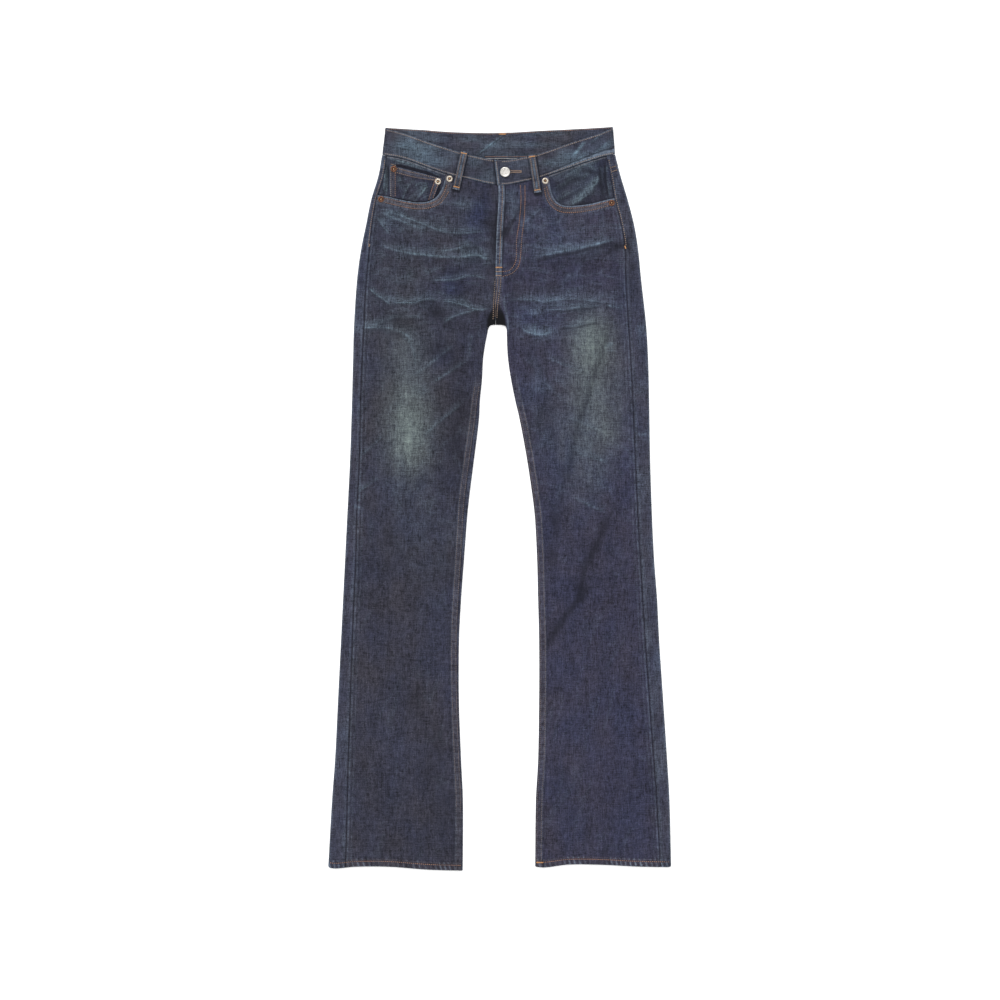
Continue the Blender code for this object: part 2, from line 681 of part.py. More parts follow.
def front_loop(spec):
    (x0, y0), (x1, y1) = spec["top"], spec["bottom"]
    length = math.hypot(x1 - x0, y1 - y0)
    across = ((y0 - y1) / length, (x1 - x0) / length)
    outer, inner = [], []
    count = 10
    for k in range(count + 1):
        share = k / count
        line_out, line_in = [], []
        for offset in (-LOOP_WIDTH / 2, 0.0, LOOP_WIDTH / 2):
            x = mix(x0, x1, share) + across[0] * offset
            y = mix(y0, y1, share) + across[1] * offset
            base = front_height(x, y) + GAP
            bow = LOOP_BOW * math.sin(math.pi * share)
            line_out.append((x, y, base + LOOP_WALL + bow))
            line_in.append((x, y, base + bow * .5))
        outer.append(line_out)
        inner.append(line_in)
    return loft(spec["node"], outer, inner)


def back_loop(spec):
    low, high = back_seam(spec["x"]) + 1, curve_value(BACK_BAND["x"], BACK_BAND["top"], spec["x"]) - 1
    outer, inner = [], []
    for offset in (-LOOP_WIDTH / 2, LOOP_WIDTH / 2):
        outer.append([(spec["x"] + offset, y, 0.0) for y in (low, high)])
        inner.append([(spec["x"] + offset, y, BACK_LOOP_WALL) for y in (low, high)])
    return loft(spec["node"], outer, inner)


def back_pocket(side, name):
    """Plain five-sided patch pocket under the back panel."""
    middle = CENTRE_BACK + side * POCKET_OFFSET
    outer, inner = [], []
    for j in range(7):
        across = -1 + j / 3
        line_out, line_in = [], []
        for i in range(5):
            down = i / 4
            x = middle + across * (POCKET_WIDTH / 2 - POCKET_TAPER * down)
            low = POCKET_TOP - POCKET_HEIGHT + POCKET_POINT * abs(across)
            y = mix(POCKET_TOP, low, down)
            line_out.append((x, y, 0.0))
            line_in.append((x, y, BACK_LOOP_WALL))
        outer.append(line_out)
        inner.append(line_in)
    return loft(name, outer, inner)


def rivet(spec):
    x, y = spec["at"]
    if spec["on"] == "coin":
        base = LAID_HEIGHT - FACING_DROP + GAP + COIN_WALL
    else:
        base = front_height(x, y)
    edge = RIVET_SIZE / 2
    profile = ((0, 1.2), (edge * .36, 1.1), (edge * .5, .8), (edge * .75, 1.1), (edge, .6), (edge, 0), (0, 0))
    color = SILVER if spec["metal"] == "silver" else COPPER
    turned(spec["node"], profile, 16, (x, y, base + GAP), color, 0.35)


def button():
    x, y = BUTTON_AT
    edge = BUTTON_SIZE / 2
    profile = ((0, 2.6), (edge * .68, 2.4), (edge * .8, 2.9), (edge * .94, 2.6), (edge, 1.9), (edge * .9, 1.2),
               (edge * .5, .9), (edge * .5, 0), (0, 0))
    turned("button", profile, 28, (x, y, BAND_HEIGHT + LAP_RISE + GAP), SILVER, 0.3)


def main():
    for old in list(bpy.data.objects):
        bpy.data.objects.remove(old, do_unlink=True)
    collection = bpy.data.collections.new("jeans")
    bpy.context.scene.collection.children.link(collection)
    for side, word in ((-1, "right"), (1, "left")):
        front_panel(side, "front_" + word)
        back_panel(side, "back_" + word)
        yoke(side, "yoke_" + word)
        pocket_facing(side, "pocket_facing_" + word)
        back_pocket(side, "back_pocket_" + word)
    waistband()
    coin_pocket()
    for spec in FRONT_LOOPS:
        front_loop(spec)
    for spec in BACK_LOOPS:
        back_loop(spec)
    for spec in RIVETS:
        rivet(spec)
    button()


main()
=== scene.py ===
# Blue five-pocket jeans laid flat on their back: every panel, seam, stitch and rivet.
# Tables are in millimetres, +Y runs to the waist, the wearer's right side is at -X.
import math

import bpy
import numpy as np
from mathutils.bvhtree import BVHTree
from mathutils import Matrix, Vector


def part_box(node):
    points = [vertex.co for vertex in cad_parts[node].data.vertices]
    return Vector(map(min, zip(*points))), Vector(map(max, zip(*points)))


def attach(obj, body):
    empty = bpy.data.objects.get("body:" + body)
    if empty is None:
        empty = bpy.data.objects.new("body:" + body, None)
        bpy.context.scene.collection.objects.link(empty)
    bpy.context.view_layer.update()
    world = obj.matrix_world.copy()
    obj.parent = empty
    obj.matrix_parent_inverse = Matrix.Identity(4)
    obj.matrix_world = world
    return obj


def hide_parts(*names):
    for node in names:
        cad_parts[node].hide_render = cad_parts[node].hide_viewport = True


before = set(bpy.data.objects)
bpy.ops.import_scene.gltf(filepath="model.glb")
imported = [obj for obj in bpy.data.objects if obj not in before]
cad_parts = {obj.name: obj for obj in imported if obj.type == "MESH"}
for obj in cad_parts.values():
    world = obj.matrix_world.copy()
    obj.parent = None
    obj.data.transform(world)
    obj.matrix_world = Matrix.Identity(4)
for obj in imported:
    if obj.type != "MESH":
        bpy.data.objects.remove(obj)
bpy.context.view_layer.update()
mm = 0.001
print("frame loaded:", len(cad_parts), "nodes")

# The garment's own sizes, as its pattern and its solids have them
cloth = {
    "wall": 1.2, "height": 4.8, "gap": 0.3, "bandGap": 0.5,
    "hemDepth": 10.0, "hemWall": 2.1, "hemRise": 0.8, "hemCorner": 4.5,
    "pocketTop": 405.0, "pocketHeight": 135.0, "pocketWidth": 130.0, "pocketTaper": 8.0,
    "pocketPoint": 18.0, "pocketOffset": 88.0, "pocketClear": 19.0, "pocketFade": 12.0,
    "patchWall": 1.2, "centreBack": -3.0, "yokeSide": 494.0, "yokeCentre": 455.0,
    "waistY": 515.0, "flyY": 470.0, "mouthY": 455.0, "frontRows": 410.0, "backRows": 432.0,
    "bendFrom": -500.0, "bendTo": -540.0, "hemY": -553.0, "feltWidth": 9.6, "hemRow": 8.1,
}
legY = (515, 485, 448, 410, 373, 328, 260, 208, 148, 58, -32, -92, -152, -212, -302, -392, -452, -554)
insideY = (260, 245, 230, 208, 178, 148, 118, 58, -2, -32, -92, -152, -212, -302, -392, -452, -554)
rightLeg = {
    "y": legY,
    "outer": (176.5, 181.7, 192.8, 200.5, 208, 214, 218.5, 220, 221.5, 224.5, 229, 232, 235, 238, 242.5,
                247, 251.5, 257.3),
    "outseam": (7, 8, 8, 9, 12.5, 14, 15, 14, 13, 14, 14.5, 16, 16.5, 17, 18.5, 20, 23, 26),
}
rightInside = {
    "y": insideY,
    "inner": (14.5, 19, 22, 25, 26.6, 29.6, 31.2, 38.6, 46.2, 49.1, 53.6, 58, 61, 61.2, 58, 55.2, 55.5),
    "inseam": (0, 0, 0, 0, 1.2, 3, 5, 6, 6, 5, 4, 3.4, 3, 2, 2, 2, 2),
}
leftLeg = {
    "y": legY,
    "outer": (173, 180.8, 191.8, 201.5, 207.5, 212, 219.5, 222.5, 224, 225.5, 228.5, 231.5, 236, 239, 245,
                251, 254.5, 257),
    "outseam": (13, 14.5, 19, 19, 19.5, 23, 26.5, 26, 24.5, 22, 21, 20.5, 21.5, 21, 20.5, 20, 19, 16),
}
leftInside = {
    "y": insideY,
    "inner": (8, 10.6, 11, 12.5, 17, 23, 30, 41, 49.8, 53, 56, 57.5, 59, 59, 57.5, 54.2, 53),
    "inseam": (0, 0, 0, 0, .6, 1, 1, 1, 1, 1, 1, 1, 1, 1, 1, 1, 1),
}
centreFront = {"y": (471, 448, 401, 361, 328, 290, 260), "x": (-2.2, -2.2, -4.9, -6.2, -6.6, -7.0, -6.0)}
crotch = {
    "sideY":  (262, 256, 251, 246, 240, 232),
    "innerY": (260.4, 260.1, 258.8, 254.5, 245.0, 234.0),
    "right":  (-6.0, -10.5, -14.5, -17.2, -19.0, -21.3),
    "left":   (-6.0, 2.0, 7.6, 10.2, 10.6, 10.9),
    "dipStart": 298.0, "dipWidth": 12.0,
}
rightMouth = {
    "x": (-184, -164, -145.4, -127, -111, -99.4, -91.5, -86.5, -83, -80.5),
    "y": (455.0, 451.6, 447.3, 444.3, 444.6, 448.7, 456, 465, 475.5, 487),
}
leftMouth = {
    "x": (173, 158.3, 138.4, 118, 101.2, 90, 82, 77.5, 75.3, 73.5),
    "y": (450.8, 447.2, 442.2, 439.2, 438.4, 441.3, 448.4, 458.8, 470, 485),
}
frontBand = {
    "x":      (-176.3, -143, -104, -70.6, -50, 1, 43, 61, 115.3, 150, 173),
    "bottom": (515.2, 509.1, 494.9, 484.1, 479.4, 469.6, 476.3, 480.8, 499.5, 511, 516.2),
    "top":    (555.8, 547, 533.2, 522.6, 516.4, 507.0, 512.8, 517.4, 536.3, 547.2, 556.8),
}
backBand = {
    "x":      (-176.3, -120, -65.6, 0, 65, 120, 173),
    "bottom": (515.2, 512.8, 511, 510, 511, 513.6, 516.2),
    "top":    (556.2, 552.8, 549.2, 548.2, 551.6, 554.2, 557.4),
}
rightHem = {"share": (0, .06, .2, .45, .75, 1), "y": (-553.6, -554.8, -552.2, -552.2, -556.6, -558.0)}
leftHem = {"share": (0, .25, .5, .75, .93, 1), "y": (-552.8, -551.9, -549.3, -548.9, -553.2, -552.0)}
bigFolds = (
    # both ends, sag of the middle, rise, half width
    ((-180, 428), (-18, 403), -12, .8, 8), ((-178, 378), (-18, 357), -4, .9, 8),
    ((-102, 326), (-20, 328), -3, .6, 7), ((-170, 296), (-24, 286), 5, .8, 7),
    ((-86, 262), (-32, 281), 0, .6, 7), ((-196, 257), (-109, 268), 4, .7, 8),
    ((-200, 252), (-127, 233), 3, .6, 8), ((47, 361), (182, 384), -3, .9, 8),
    ((14, 300), (166, 293), -2, .7, 7), ((63, 281), (158, 291), -3, .7, 7),
    ((33, 256), (80, 250), -5, .6, 7), ((84, 257), (152, 266), -4, .8, 8),
    ((38, 413), (64, 432), 0, .5, 7),
)
seamEdges = (0, .25, .6, 1.1, 1.8, 2.6)  # distances of the closest columns from a seam
legs, insides = {-1: rightLeg, 1: leftLeg}, {-1: rightInside, 1: leftInside}
mouths, hems = {-1: rightMouth, 1: leftMouth}, {-1: rightHem, 1: leftHem}


# ---- small numbers
def smooth(value):
    value = np.clip(value, 0.0, 1.0)
    return value * value * (3 - 2 * value)


def mix(first, second, share):
    return first + (second - first) * share


def bell(distance, width):
    return np.exp(-(distance / width) ** 2)


def curveValue(places, values, place):
    # value on the smooth curve through a table's points, held at its ends
    places, values = np.array(places, float), np.array(values, float)
    if places[0] > places[-1]:
        places, values = places[::-1], values[::-1]
    slopes = np.empty_like(values)
    slopes[1:-1] = (values[2:] - values[:-2]) / (places[2:] - places[:-2])
    slopes[0] = (values[1] - values[0]) / (places[1] - places[0])
    slopes[-1] = (values[-1] - values[-2]) / (places[-1] - places[-2])
    place = np.clip(place, places[0], places[-1])
    k = np.clip(np.searchsorted(places, place) - 1, 0, len(places) - 2)
    span = places[k + 1] - places[k]
    t = (place - places[k]) / span
    return (values[k] + (values[k + 1] - values[k]) * t * t * (3 - 2 * t)
            + span * (slopes[k] * t * (1 - t) ** 2 - slopes[k + 1] * t * t * (1 - t)))


def tableValue(table, key, place):
    return curveValue(table["x" if "x" in table else "y"], table[key], place)


def patches(x, y, size, seed):
    # soft uneven patches, size across in x and y, from -1 to 1
    lattice = np.random.default_rng(seed).uniform(-1, 1, (97, 97))
    u, v = x / size[0] + 31.4, y / size[1] + 27.1
    i, j = np.floor(u).astype(int), np.floor(v).astype(int)
    fu, fv = smooth(u - i), smooth(v - j)
    low = mix(lattice[i % 97, j % 97], lattice[(i + 1) % 97, j % 97], fu)
    high = mix(lattice[i % 97, (j + 1) % 97], lattice[(i + 1) % 97, (j + 1) % 97], fu)
    return mix(low, high, fv)


def within(value, low, rise, high, fall):
    # 1 between two values, easing to 0 over a stretch inside each
    return smooth((value - low) / rise) * smooth((high - value) / fall)


def ticks(place, pitch, shift):
    # light mark at every stitch along a seam, from 0 to 1
    return .5 + .5 * np.sin(2 * math.pi * place / pitch + 2 * shift)


def slantLine(x, y, at, lean, width):
    # soft straight mark through a place, aslant
    return bell((x - at[0]) * lean[0] - (y - at[1]) * lean[1], width)


def addObject(name, data):
    made = bpy.data.objects.new(name, data)
    bpy.context.scene.collection.objects.link(made)
    return made


def stepped(start, stop, step):
    return np.linspace(start, stop, max(2, int(round(abs(stop - start) / step)) + 1))


def smoothPath(points, step=2.0):
    # even steps along the smooth curve through a few points
    points = np.array(points, float)
    along = np.concatenate([[0], np.cumsum(np.hypot(*np.diff(points, axis=0).T))])
    fine = np.linspace(0, along[-1], max(8, int(along[-1] / .5)))
    line = np.stack([curveValue(along, points[:, 0], fine), curveValue(along, points[:, 1], fine)], 1)
    length = np.concatenate([[0], np.cumsum(np.hypot(*np.diff(line, axis=0).T))])
    places = stepped(0, length[-1], step)
    return np.stack([np.interp(places, length, line[:, 0]), np.interp(places, length, line[:, 1])], 1)


def fromPath(path, x, y, reach):
    # signed distance to a path and share along it, for the points within reach
    near = np.nonzero((x > path[:, 0].min() - reach) & (x < path[:, 0].max() + reach)
                      & (y > path[:, 1].min() - reach) & (y < path[:, 1].max() + reach))[0]
    best = np.full(len(near), 1e9)
    side, share = np.zeros(len(near)), np.zeros(len(near))
    px, py = x[near], y[near]
    total = len(path) - 1
    for k in range(total):
        (ax, ay), (bx, by) = path[k], path[k + 1]
        dx, dy = bx - ax, by - ay
        t = np.clip(((px - ax) * dx + (py - ay) * dy) / (dx * dx + dy * dy), 0, 1)
        gap = np.hypot(px - ax - t * dx, py - ay - t * dy)
        closer = gap < best
        best = np.where(closer, gap, best)
        side = np.where(closer, np.sign(dx * (py - ay) - dy * (px - ax)), side)
        share = np.where(closer, (k + t) / total, share)
    return near, best * np.where(side == 0, 1, side), share


# ---- the laid cloth tube, as the solids have it
def centreLine(y):
    return curveValue(centreFront["y"], centreFront["x"], y)


def frontSeam(x):
    return tableValue(frontBand, "bottom", x)


def frontTop(side, x):
    # upper edge of a front panel: pocket mouth, then waist seam
    table = mouths[side]
    seam = frontSeam(x) - cloth["bandGap"]
    mouth = np.minimum(seam, tableValue(table, "y", x))
    return np.where(np.abs(x) <= abs(table["x"][-1]), seam, mouth)


def foldRise(x, y):
    total = np.zeros_like(x)
    for (x0, y0), (x1, y1), sag, rise, half in bigFolds:
        length = math.hypot(x1 - x0, y1 - y0)
        along = ((x - x0) * (x1 - x0) + (y - y0) * (y1 - y0)) / length ** 2
        off = ((x1 - x0) * (y - y0) - (y1 - y0) * (x - x0)) / length - sag * 4 * along * (1 - along)
        total += rise * within(along, 0, .25, 1, .25) * bell(off, half)
    return np.minimum(total, 1.0)


fly = {"rise": 1.5, "width": 18.0, "fade": 27.0, "bottom": 340.0}


def flyRise(x, y):
    away = x - centreLine(y)
    return (fly["rise"] * smooth((y - fly["bottom"] + 20) / 12)
            * smooth((fly["fade"] - away) / (fly["fade"] - fly["width"] - 2)))


def pocketRise(x, y):
    # the back panel rides over the patch pocket under it
    away = np.full_like(x, 1e9)
    for side in (-1, 1):
        beyondX = np.abs(x - cloth["centreBack"] - side * cloth["pocketOffset"]) - cloth["pocketWidth"] / 2
        beyondY = np.maximum(y - cloth["pocketTop"], cloth["pocketTop"] - cloth["pocketHeight"] - y)
        away = np.minimum(away, np.hypot(np.maximum(beyondX, 0), np.maximum(beyondY, 0) * 1.3))
    return (cloth["patchWall"] + cloth["gap"]) * smooth(
        (cloth["pocketClear"] + cloth["pocketFade"] - away) / cloth["pocketFade"])


def centreBackLine(y):
    return mix(cloth["centreBack"], crotch["right"][0], smooth((330 - y) / 50))


def rowSizes(side, sideY, innerX=None, innerY=None):
    # sizes of each section through half of the hips, or through a leg
    leg, inside = legs[side], insides[side]
    sideY = np.asarray(sideY, float)
    if innerX is None:
        innerX = side * tableValue(inside, "inner", sideY)
    sink = smooth((crotch["dipStart"] - sideY) / (crotch["dipStart"] - crotch["sideY"][0]))
    return {
        "sideY": sideY,
        "innerY": sideY if innerY is None else innerY,
        "outer": side * tableValue(leg, "outer", sideY),
        "inner": innerX,
        "outseam": tableValue(leg, "outseam", sideY),
        "inseam": np.maximum(0, tableValue(inside, "inseam", sideY)),
        "dip": sink,
        "dipWidth": mix(cloth["height"] / 2, crotch["dipWidth"], sink * smooth((sideY - 205) / 40)),
        "height": np.full_like(sideY, cloth["height"]),
        "wall": np.full_like(sideY, cloth["wall"]),
        "hemUp": np.full_like(sideY, 999.0),
    }


def joinRows(*parts):
    return {key: np.concatenate([part[key] for part in parts]) for key in parts[0]}


def legRows(side, first, middle, steps):
    # rows from the first straight one to the hem, middle gives the seam between the halves
    hips = stepped(first, crotch["sideY"][0] + steps["hip"], steps["hip"])
    turn = stepped(0, 5, steps["crotch"])
    keys = ("sideY", "innerY", "right" if side < 0 else "left")
    fan = [curveValue(np.arange(6), crotch[key], turn) for key in keys]
    fan[2] = fan[2] + side * cloth["gap"] / 2 * np.clip(1 - turn, 0, 1)
    straight = stepped(crotch["sideY"][-1] - steps["leg"], cloth["bendFrom"], steps["leg"])
    bent = stepped(cloth["bendFrom"] - steps["leg"], cloth["bendTo"], steps["leg"])
    ups = np.array(steps["hemUps"])
    hem = rowSizes(side, cloth["hemY"] + ups)
    hem["hemUp"] = ups
    folded = smooth((cloth["hemDepth"] + .9 - ups) / .9)
    hem["height"] = cloth["height"] + cloth["hemRise"] * folded
    hem["dipWidth"] = hem["height"] / 2
    hem["wall"] = mix(cloth["wall"], cloth["hemWall"], folded)
    return joinRows(rowSizes(side, hips, innerX=middle(hips)),
                    rowSizes(side, fan[0], innerX=fan[2], innerY=fan[1]),
                    rowSizes(side, straight), rowSizes(side, bent), hem)


def hemLine(side, share):
    return curveValue(hems[side]["share"], hems[side]["y"], np.clip(share, 0, 1))


def shareAcross(rows, x):
    # 0 at the outer edge of each row, 1 at the inner one
    return (x - rows["outer"][:, None]) / (rows["inner"] - rows["outer"])[:, None]


def hemBend(side, rows):
    # eases straight rows into the hem's own line
    def bend(x, y):
        up = rows["hemUp"][:, None]
        line = hemLine(side, shareAcross(rows, x))
        eased = y + (line - cloth["hemY"]) * smooth((cloth["bendFrom"] + 2 - y) / 42)
        corner = np.zeros_like(x)
        for key, radius in (("outer", cloth["hemCorner"]), ("inner", cloth["hemCorner"] * .5)):
            inside = np.clip(1 - np.abs(x - rows[key][:, None]) / radius, 0, 1)
            corner += radius * .7 * (1 - np.sqrt(1 - inside ** 2))
        return np.where(up < 900, line + up + corner * smooth((9 - up) / 8), eased)
    return bend


def tubePoint(side, rows, turn, bend):
    # turn 0 is the outer edge, 1 to 2 the flat top, 3 the inner edge, below zero the underside
    col = {key: value[:, None] for key, value in rows.items()}
    radius = col["height"] / 2
    top = (turn >= 0) | (turn <= -3)
    place = np.where(turn <= -3, 6 + turn, np.abs(turn))
    reach = np.where(top, col["dipWidth"], radius)
    width = np.abs(col["inner"] - col["outer"])
    edge = np.clip(place, 0, 1) * math.pi / 2
    roll = np.clip(place - 2, 0, 1) * math.pi / 2
    flat = mix(radius, width - reach, np.minimum(place, 2) - 1)
    across = np.where(place < 1, radius * (1 - np.cos(edge)), flat + reach * np.sin(roll))
    rolled = 2 * radius - col["dip"] * radius * (1 - np.cos(roll))
    height = np.where(place < 1, radius * (1 + np.sin(edge)), rolled)
    leanX = np.where(place < 1, -np.cos(edge), np.sin(roll * col["dip"]))
    leanZ = np.where(place < 1, np.sin(edge), np.cos(roll * col["dip"]))
    x = col["outer"] - side * across
    y = bend(x, mix(col["sideY"], col["innerY"], across / width))
    lift = foldRise(x, y) * smooth((across - radius) / 8)
    if side > 0:
        lift = lift + flyRise(x, y) * (turn > 0)
    clear = 1 - col["dip"] * (1 - smooth((width - across - 3) / 16))
    under = 2 * radius - height + pocketRise(x, y) * clear * (place >= 1)
    sizes = {key: col[key] + 0 * x for key in ("hemUp", "outseam", "inseam", "wall")}
    return sizes | {"x": x, "y": y, "z": np.where(top, height + lift, under), "top": top, "across": across,
                    "width": width + 0 * x, "leanX": -side * leanX, "leanZ": np.where(top, leanZ, -leanZ)}


def turnAt(rows, across):
    # turn on the upper side at a distance in from the outer edge
    radius, reach = rows["height"][:, None] / 2, rows["dipWidth"][:, None]
    width = np.abs(rows["inner"] - rows["outer"])[:, None]
    flat = 1 + (across - radius) / (width - radius - reach)
    bent = 2 + np.arcsin(np.clip((across - width + reach) / reach, 0, 1)) / (math.pi / 2)
    return np.where(across > width - reach, bent, flat)


# ---- creases, worn places and seams of the front
creases = (
    # places each goes through, width, rise, light on it, painted shadow below it
    (((-186, 381), (-148, 370), (-91, 363), (-50, 359)), 2.6, .45, .75, .25),
    (((-62, 361), (-46, 364), (-34, 365), (-25, 361), (-14, 356)), 3.4, .6, 1.0, .4),
    (((-91, 371), (-66, 374), (-40, 382)), 2.2, .3, .6, .1),
    (((-187, 436), (-160, 428), (-124, 415), (-85, 401), (-50, 398), (-12, 403)), 2.1, .4, .55, .26),
    (((-182, 430), (-150, 417), (-120, 407), (-100, 405)), 3.0, .3, .45, .1),
    (((-184, 424), (-177, 412), (-165, 396)), 2.0, .3, .5, .1),
    (((-180, 429), (-168, 427), (-158, 431)), 2.4, .3, .4, .2),
    (((-112, 327), (-73, 328), (-40, 334), (-14, 328)), 2.4, .35, .55, .2),
    (((-198, 316), (-180, 302), (-162, 289)), 2.2, .4, .7, .25),
    (((-168, 295), (-135, 293), (-109, 299), (-84, 297)), 2.3, .5, .68, .3),
    (((-90, 298), (-55, 291), (-34, 283), (-14, 286)), 2.2, .45, .62, .3),
    (((-88, 260), (-70, 272), (-50, 279), (-30, 283)), 1.9, .35, .5, .3),
    (((-196, 254), (-180, 264), (-169, 269), (-143, 272), (-108, 270)), 2.4, .4, .3, .35),
    (((-218, 256), (-196, 257), (-171, 256), (-143, 247), (-126, 232)), 3.2, .5, .48, .4),
    (((-150, 245), (-134, 233), (-128, 214), (-126, 196)), 3.0, .2, .3, 0),
    (((40, 360), (75, 366), (112, 373), (153, 383), (182, 392)), 3.2, .6, .72, .8),
    (((160, 292), (150, 240), (137, 197), (124, 154), (105, 97), (97, 52), (84, 0)), 5.6, -.6, 0, .62),
    (((160, -8), (146, -44), (131, -75), (120, -98), (113, -128), (104, -160)), 6.2, -.5, 0, .85),
    (((132, -118), (115, -143), (99, -161), (75, -196), (56, -228)), 5.6, -.5, 0, .9),
    (((36, 371), (80, 377), (120, 385)), 3.4, .3, .12, .1),
    (((10, 300), (38, 298), (66, 296), (115, 299), (168, 292)), 2.2, .35, .55, .2),
    (((60, 281), (97, 284), (130, 287), (160, 291)), 2.0, .35, .5, .5),
    (((70, 289), (100, 290), (130, 293)), 1.6, .2, .35, .2),
    (((158, 291), (172, 287), (187, 284)), 2.2, .35, .6, .3),
    (((30, 257), (42, 250), (54, 247), (66, 247), (80, 251)), 3.2, .5, .75, .2),
    (((54, 262), (53, 253), (53, 244)), 2.0, .2, .6, 0),
    (((84, 257), (115, 259), (135, 264), (154, 267)), 2.0, .4, .25, .7),
    (((15, 274), (28, 272), (40, 269)), 2.6, .25, .4, .1),
    (((35, 412), (48, 423), (65, 436)), 2.2, .3, .45, .1),
    (((40, 400), (47, 412), (52, 420)), 2.0, .2, .25, .1),
    (((70, 210), (100, 200), (132, 188)), 1.8, .25, .4, .15),
    (((62, 178), (78, 163), (94, 144)), 2.0, .2, .35, .1),
    (((100, 122), (130, 110), (160, 98)), 1.8, .2, .3, .15),
    (((98, 78), (125, 66), (167, 52)), 2.4, .3, .6, .2),
    (((106, 4), (135, -10), (162, -22)), 2.0, .25, .4, .15),
    (((-66, 232), (-98, 207), (-132, 182)), 2.0, .25, .48, .1),
    (((-40, 214), (-70, 193), (-104, 172)), 2.0, .25, .48, .1),
    (((-50, 149), (-82, 122), (-116, 93)), 1.9, .25, .52, .1),
    (((-172, 98), (-190, 80), (-211, 62)), 1.8, .2, .42, .1),
    (((-180, 31), (-196, 21), (-216, 8)), 1.8, .2, .42, .1),
    (((-41, 248), (-44, 228), (-45, 208)), 2.2, .2, .35, 0),
    (((-10, 440), (-24, 426), (-34, 404)), 5.0, .3, .05, .25),
    (((25, 432), (18, 418), (10, 401), (6, 390)), 2.0, .6, .25, .5),
)
scratches = (
    # short marks across the warp where the cloth has been rubbed: x, y, length, count, step, light
    (163, 233, 17, 4, -3.4, .4), (-214, 6, 13, 3, -9.0, .45),
    (211, 161, 18, 2, -38.0, .35), (213, 96, 15, 2, -9.0, .3),
)
# Worn places, painted shade and other dark places: x and y of the middle, half sizes along and over, turn in
# degrees, strength
thighFades = (
    (-137, 92, 15, 38, 0, .30), (-136, 104, 34, 68, 0, .50), (-140, 214, 34, 54, 0, .17),
    (141, 240, 30, 36, 0, .48), (136, 190, 28, 62, 0, .34), (118, 90, 36, 74, 0, .20),
    (176, 174, 20, 40, 0, .12), (163, 104, 22, 34, 0, .26), (147, 31, 20, 26, 0, .10),
)
blueFades = (
    # bluish worn places of the hips, lighter and softer than the creases
    (-158, 425, 30, 14, 0, .26), (-110, 408, 60, 14, 0, .22), (-40, 366, 30, 14, 0, .30),
    (-140, 372, 50, 14, 0, .16), (-140, 300, 44, 12, 0, .18), (-60, 290, 36, 12, 0, .20),
    (-190, 262, 40, 12, 0, .24), (64, 408, 34, 22, 0, .22), (-54, 439, 15, 13, 0, .30),
    (-144, 335, 34, 18, 0, .24), (56, 279, 14, 10, 0, .26), (20, 446, 9, 24, 0, .34),
    (10, 452, 8, 13, 0, .30), (118, 402, 44, 22, 0, .16), (120, 372, 60, 12, 0, .26),
    (95, 300, 80, 16, 0, .26), (60, 250, 40, 12, 0, .28), (60, 150, 26, 80, 0, .20),
    (-100, -60, 60, 70, 0, .10),
)
# painted shade where the front folds and sinks
shadePlaces = (
    (-22, 430, 16, 34, 0, .30), (-11, 392, 7, 44, 0, .42), (-66, 232, 36, 34, 0, .30),
    (-74, 118, 24, 64, 0, .44), (-150, -92, 62, 56, 0, .13), (150, -92, 62, 56, 0, .07),
    (-150, -470, 90, 80, 0, .12), (150, -470, 90, 80, 0, .12), (72, 110, 14, 60, 0, .26),
    (92, 20, 14, 44, 0, .26), (110, 348, 70, 12, 0, .28), (-60, 340, 60, 9, 0, .20),
    (-60, 312, 50, 8, 0, .18), (90, 262, 36, 7, 0, .30), (-175, 262, 24, 6, 0, .15),
    (-150, 335, 60, 20, 0, .12), (22, 300, 12, 44, 0, .42), (-165, 269, 14, 10, 0, .95),
    (-135, 257, 16, 9, 0, .60), (-63, 301, 14, 10, 0, .60), (-94, 276, 19, 12, -40, .95),
    (-48, 374, 18, 7, 0, .55), (-95, 220, 18, 13, 0, .52), (-61, 104, 14, 110, 0, .38),
    (-184, 418, 10, 24, 0, .48), (-192, 352, 7, 34, 0, .22), (140, 363, 24, 8, 12, 1.0),
    (180, 378, 17, 7, 14, .85), (179, 314, 12, 26, 0, .44), (128, 286, 24, 8, 22, .48),
    (79, 316, 26, 10, 0, .34), (30, 430, 14, 12, 0, .46), (60, 463, 16, 10, -40, .85),
    (99, 431, 16, 7, 0, .45), (45, 378, 10, 10, 0, .32), (57, 126, 10, 22, 0, .45),
    (-82, -108, 18, 22, 0, .40), (4, 397, 6, 14, -30, .55), (53, 200, 9, 20, 0, .30),
    (-115, 28, 38, 20, 0, .30), (90, 248, 16, 8, 0, .30), (-8, 270, 10, 13, 0, 1.2),
    (190, 380, 7, 11, 0, .45), (109, 388, 16, 6, 12, .40), (-176, 305, 14, 9, 0, .36),
    (-112, 299, 13, 8, -30, .42), (-71, 328, 9, 15, 0, .36), (-116, 418, 13, 8, 0, .34),
    (-36, 372, 16, 7, 0, .30), (82, -36, 7, 22, 12, .45), (78, -92, 8, 24, 0, .42),
    (-216, -110, 7, 46, 0, .34), (-231, -356, 12, 18, 0, .40), (-84, -476, 16, 20, 0, .40),
    (-92, -358, 10, 24, 0, .36), (-122, -300, 18, 34, 0, .30), (-106, -412, 16, 26, 0, .28),
    (218, -112, 10, 30, 0, .30), (235, -410, 12, 26, 0, .30), (232, -490, 12, 16, 0, .30),
    (-164, -66, 24, 34, 0, .16), (-122, -322, 14, 26, 0, .26), (-82, -442, 16, 44, 0, .28),
    (-66, -520, 14, 22, -40, .34), (83, -36, 9, 18, 0, .26), (152, -352, 14, 26, 0, .18),
    (94, -437, 13, 26, 0, .16), (188, -437, 13, 26, 0, .16),
)
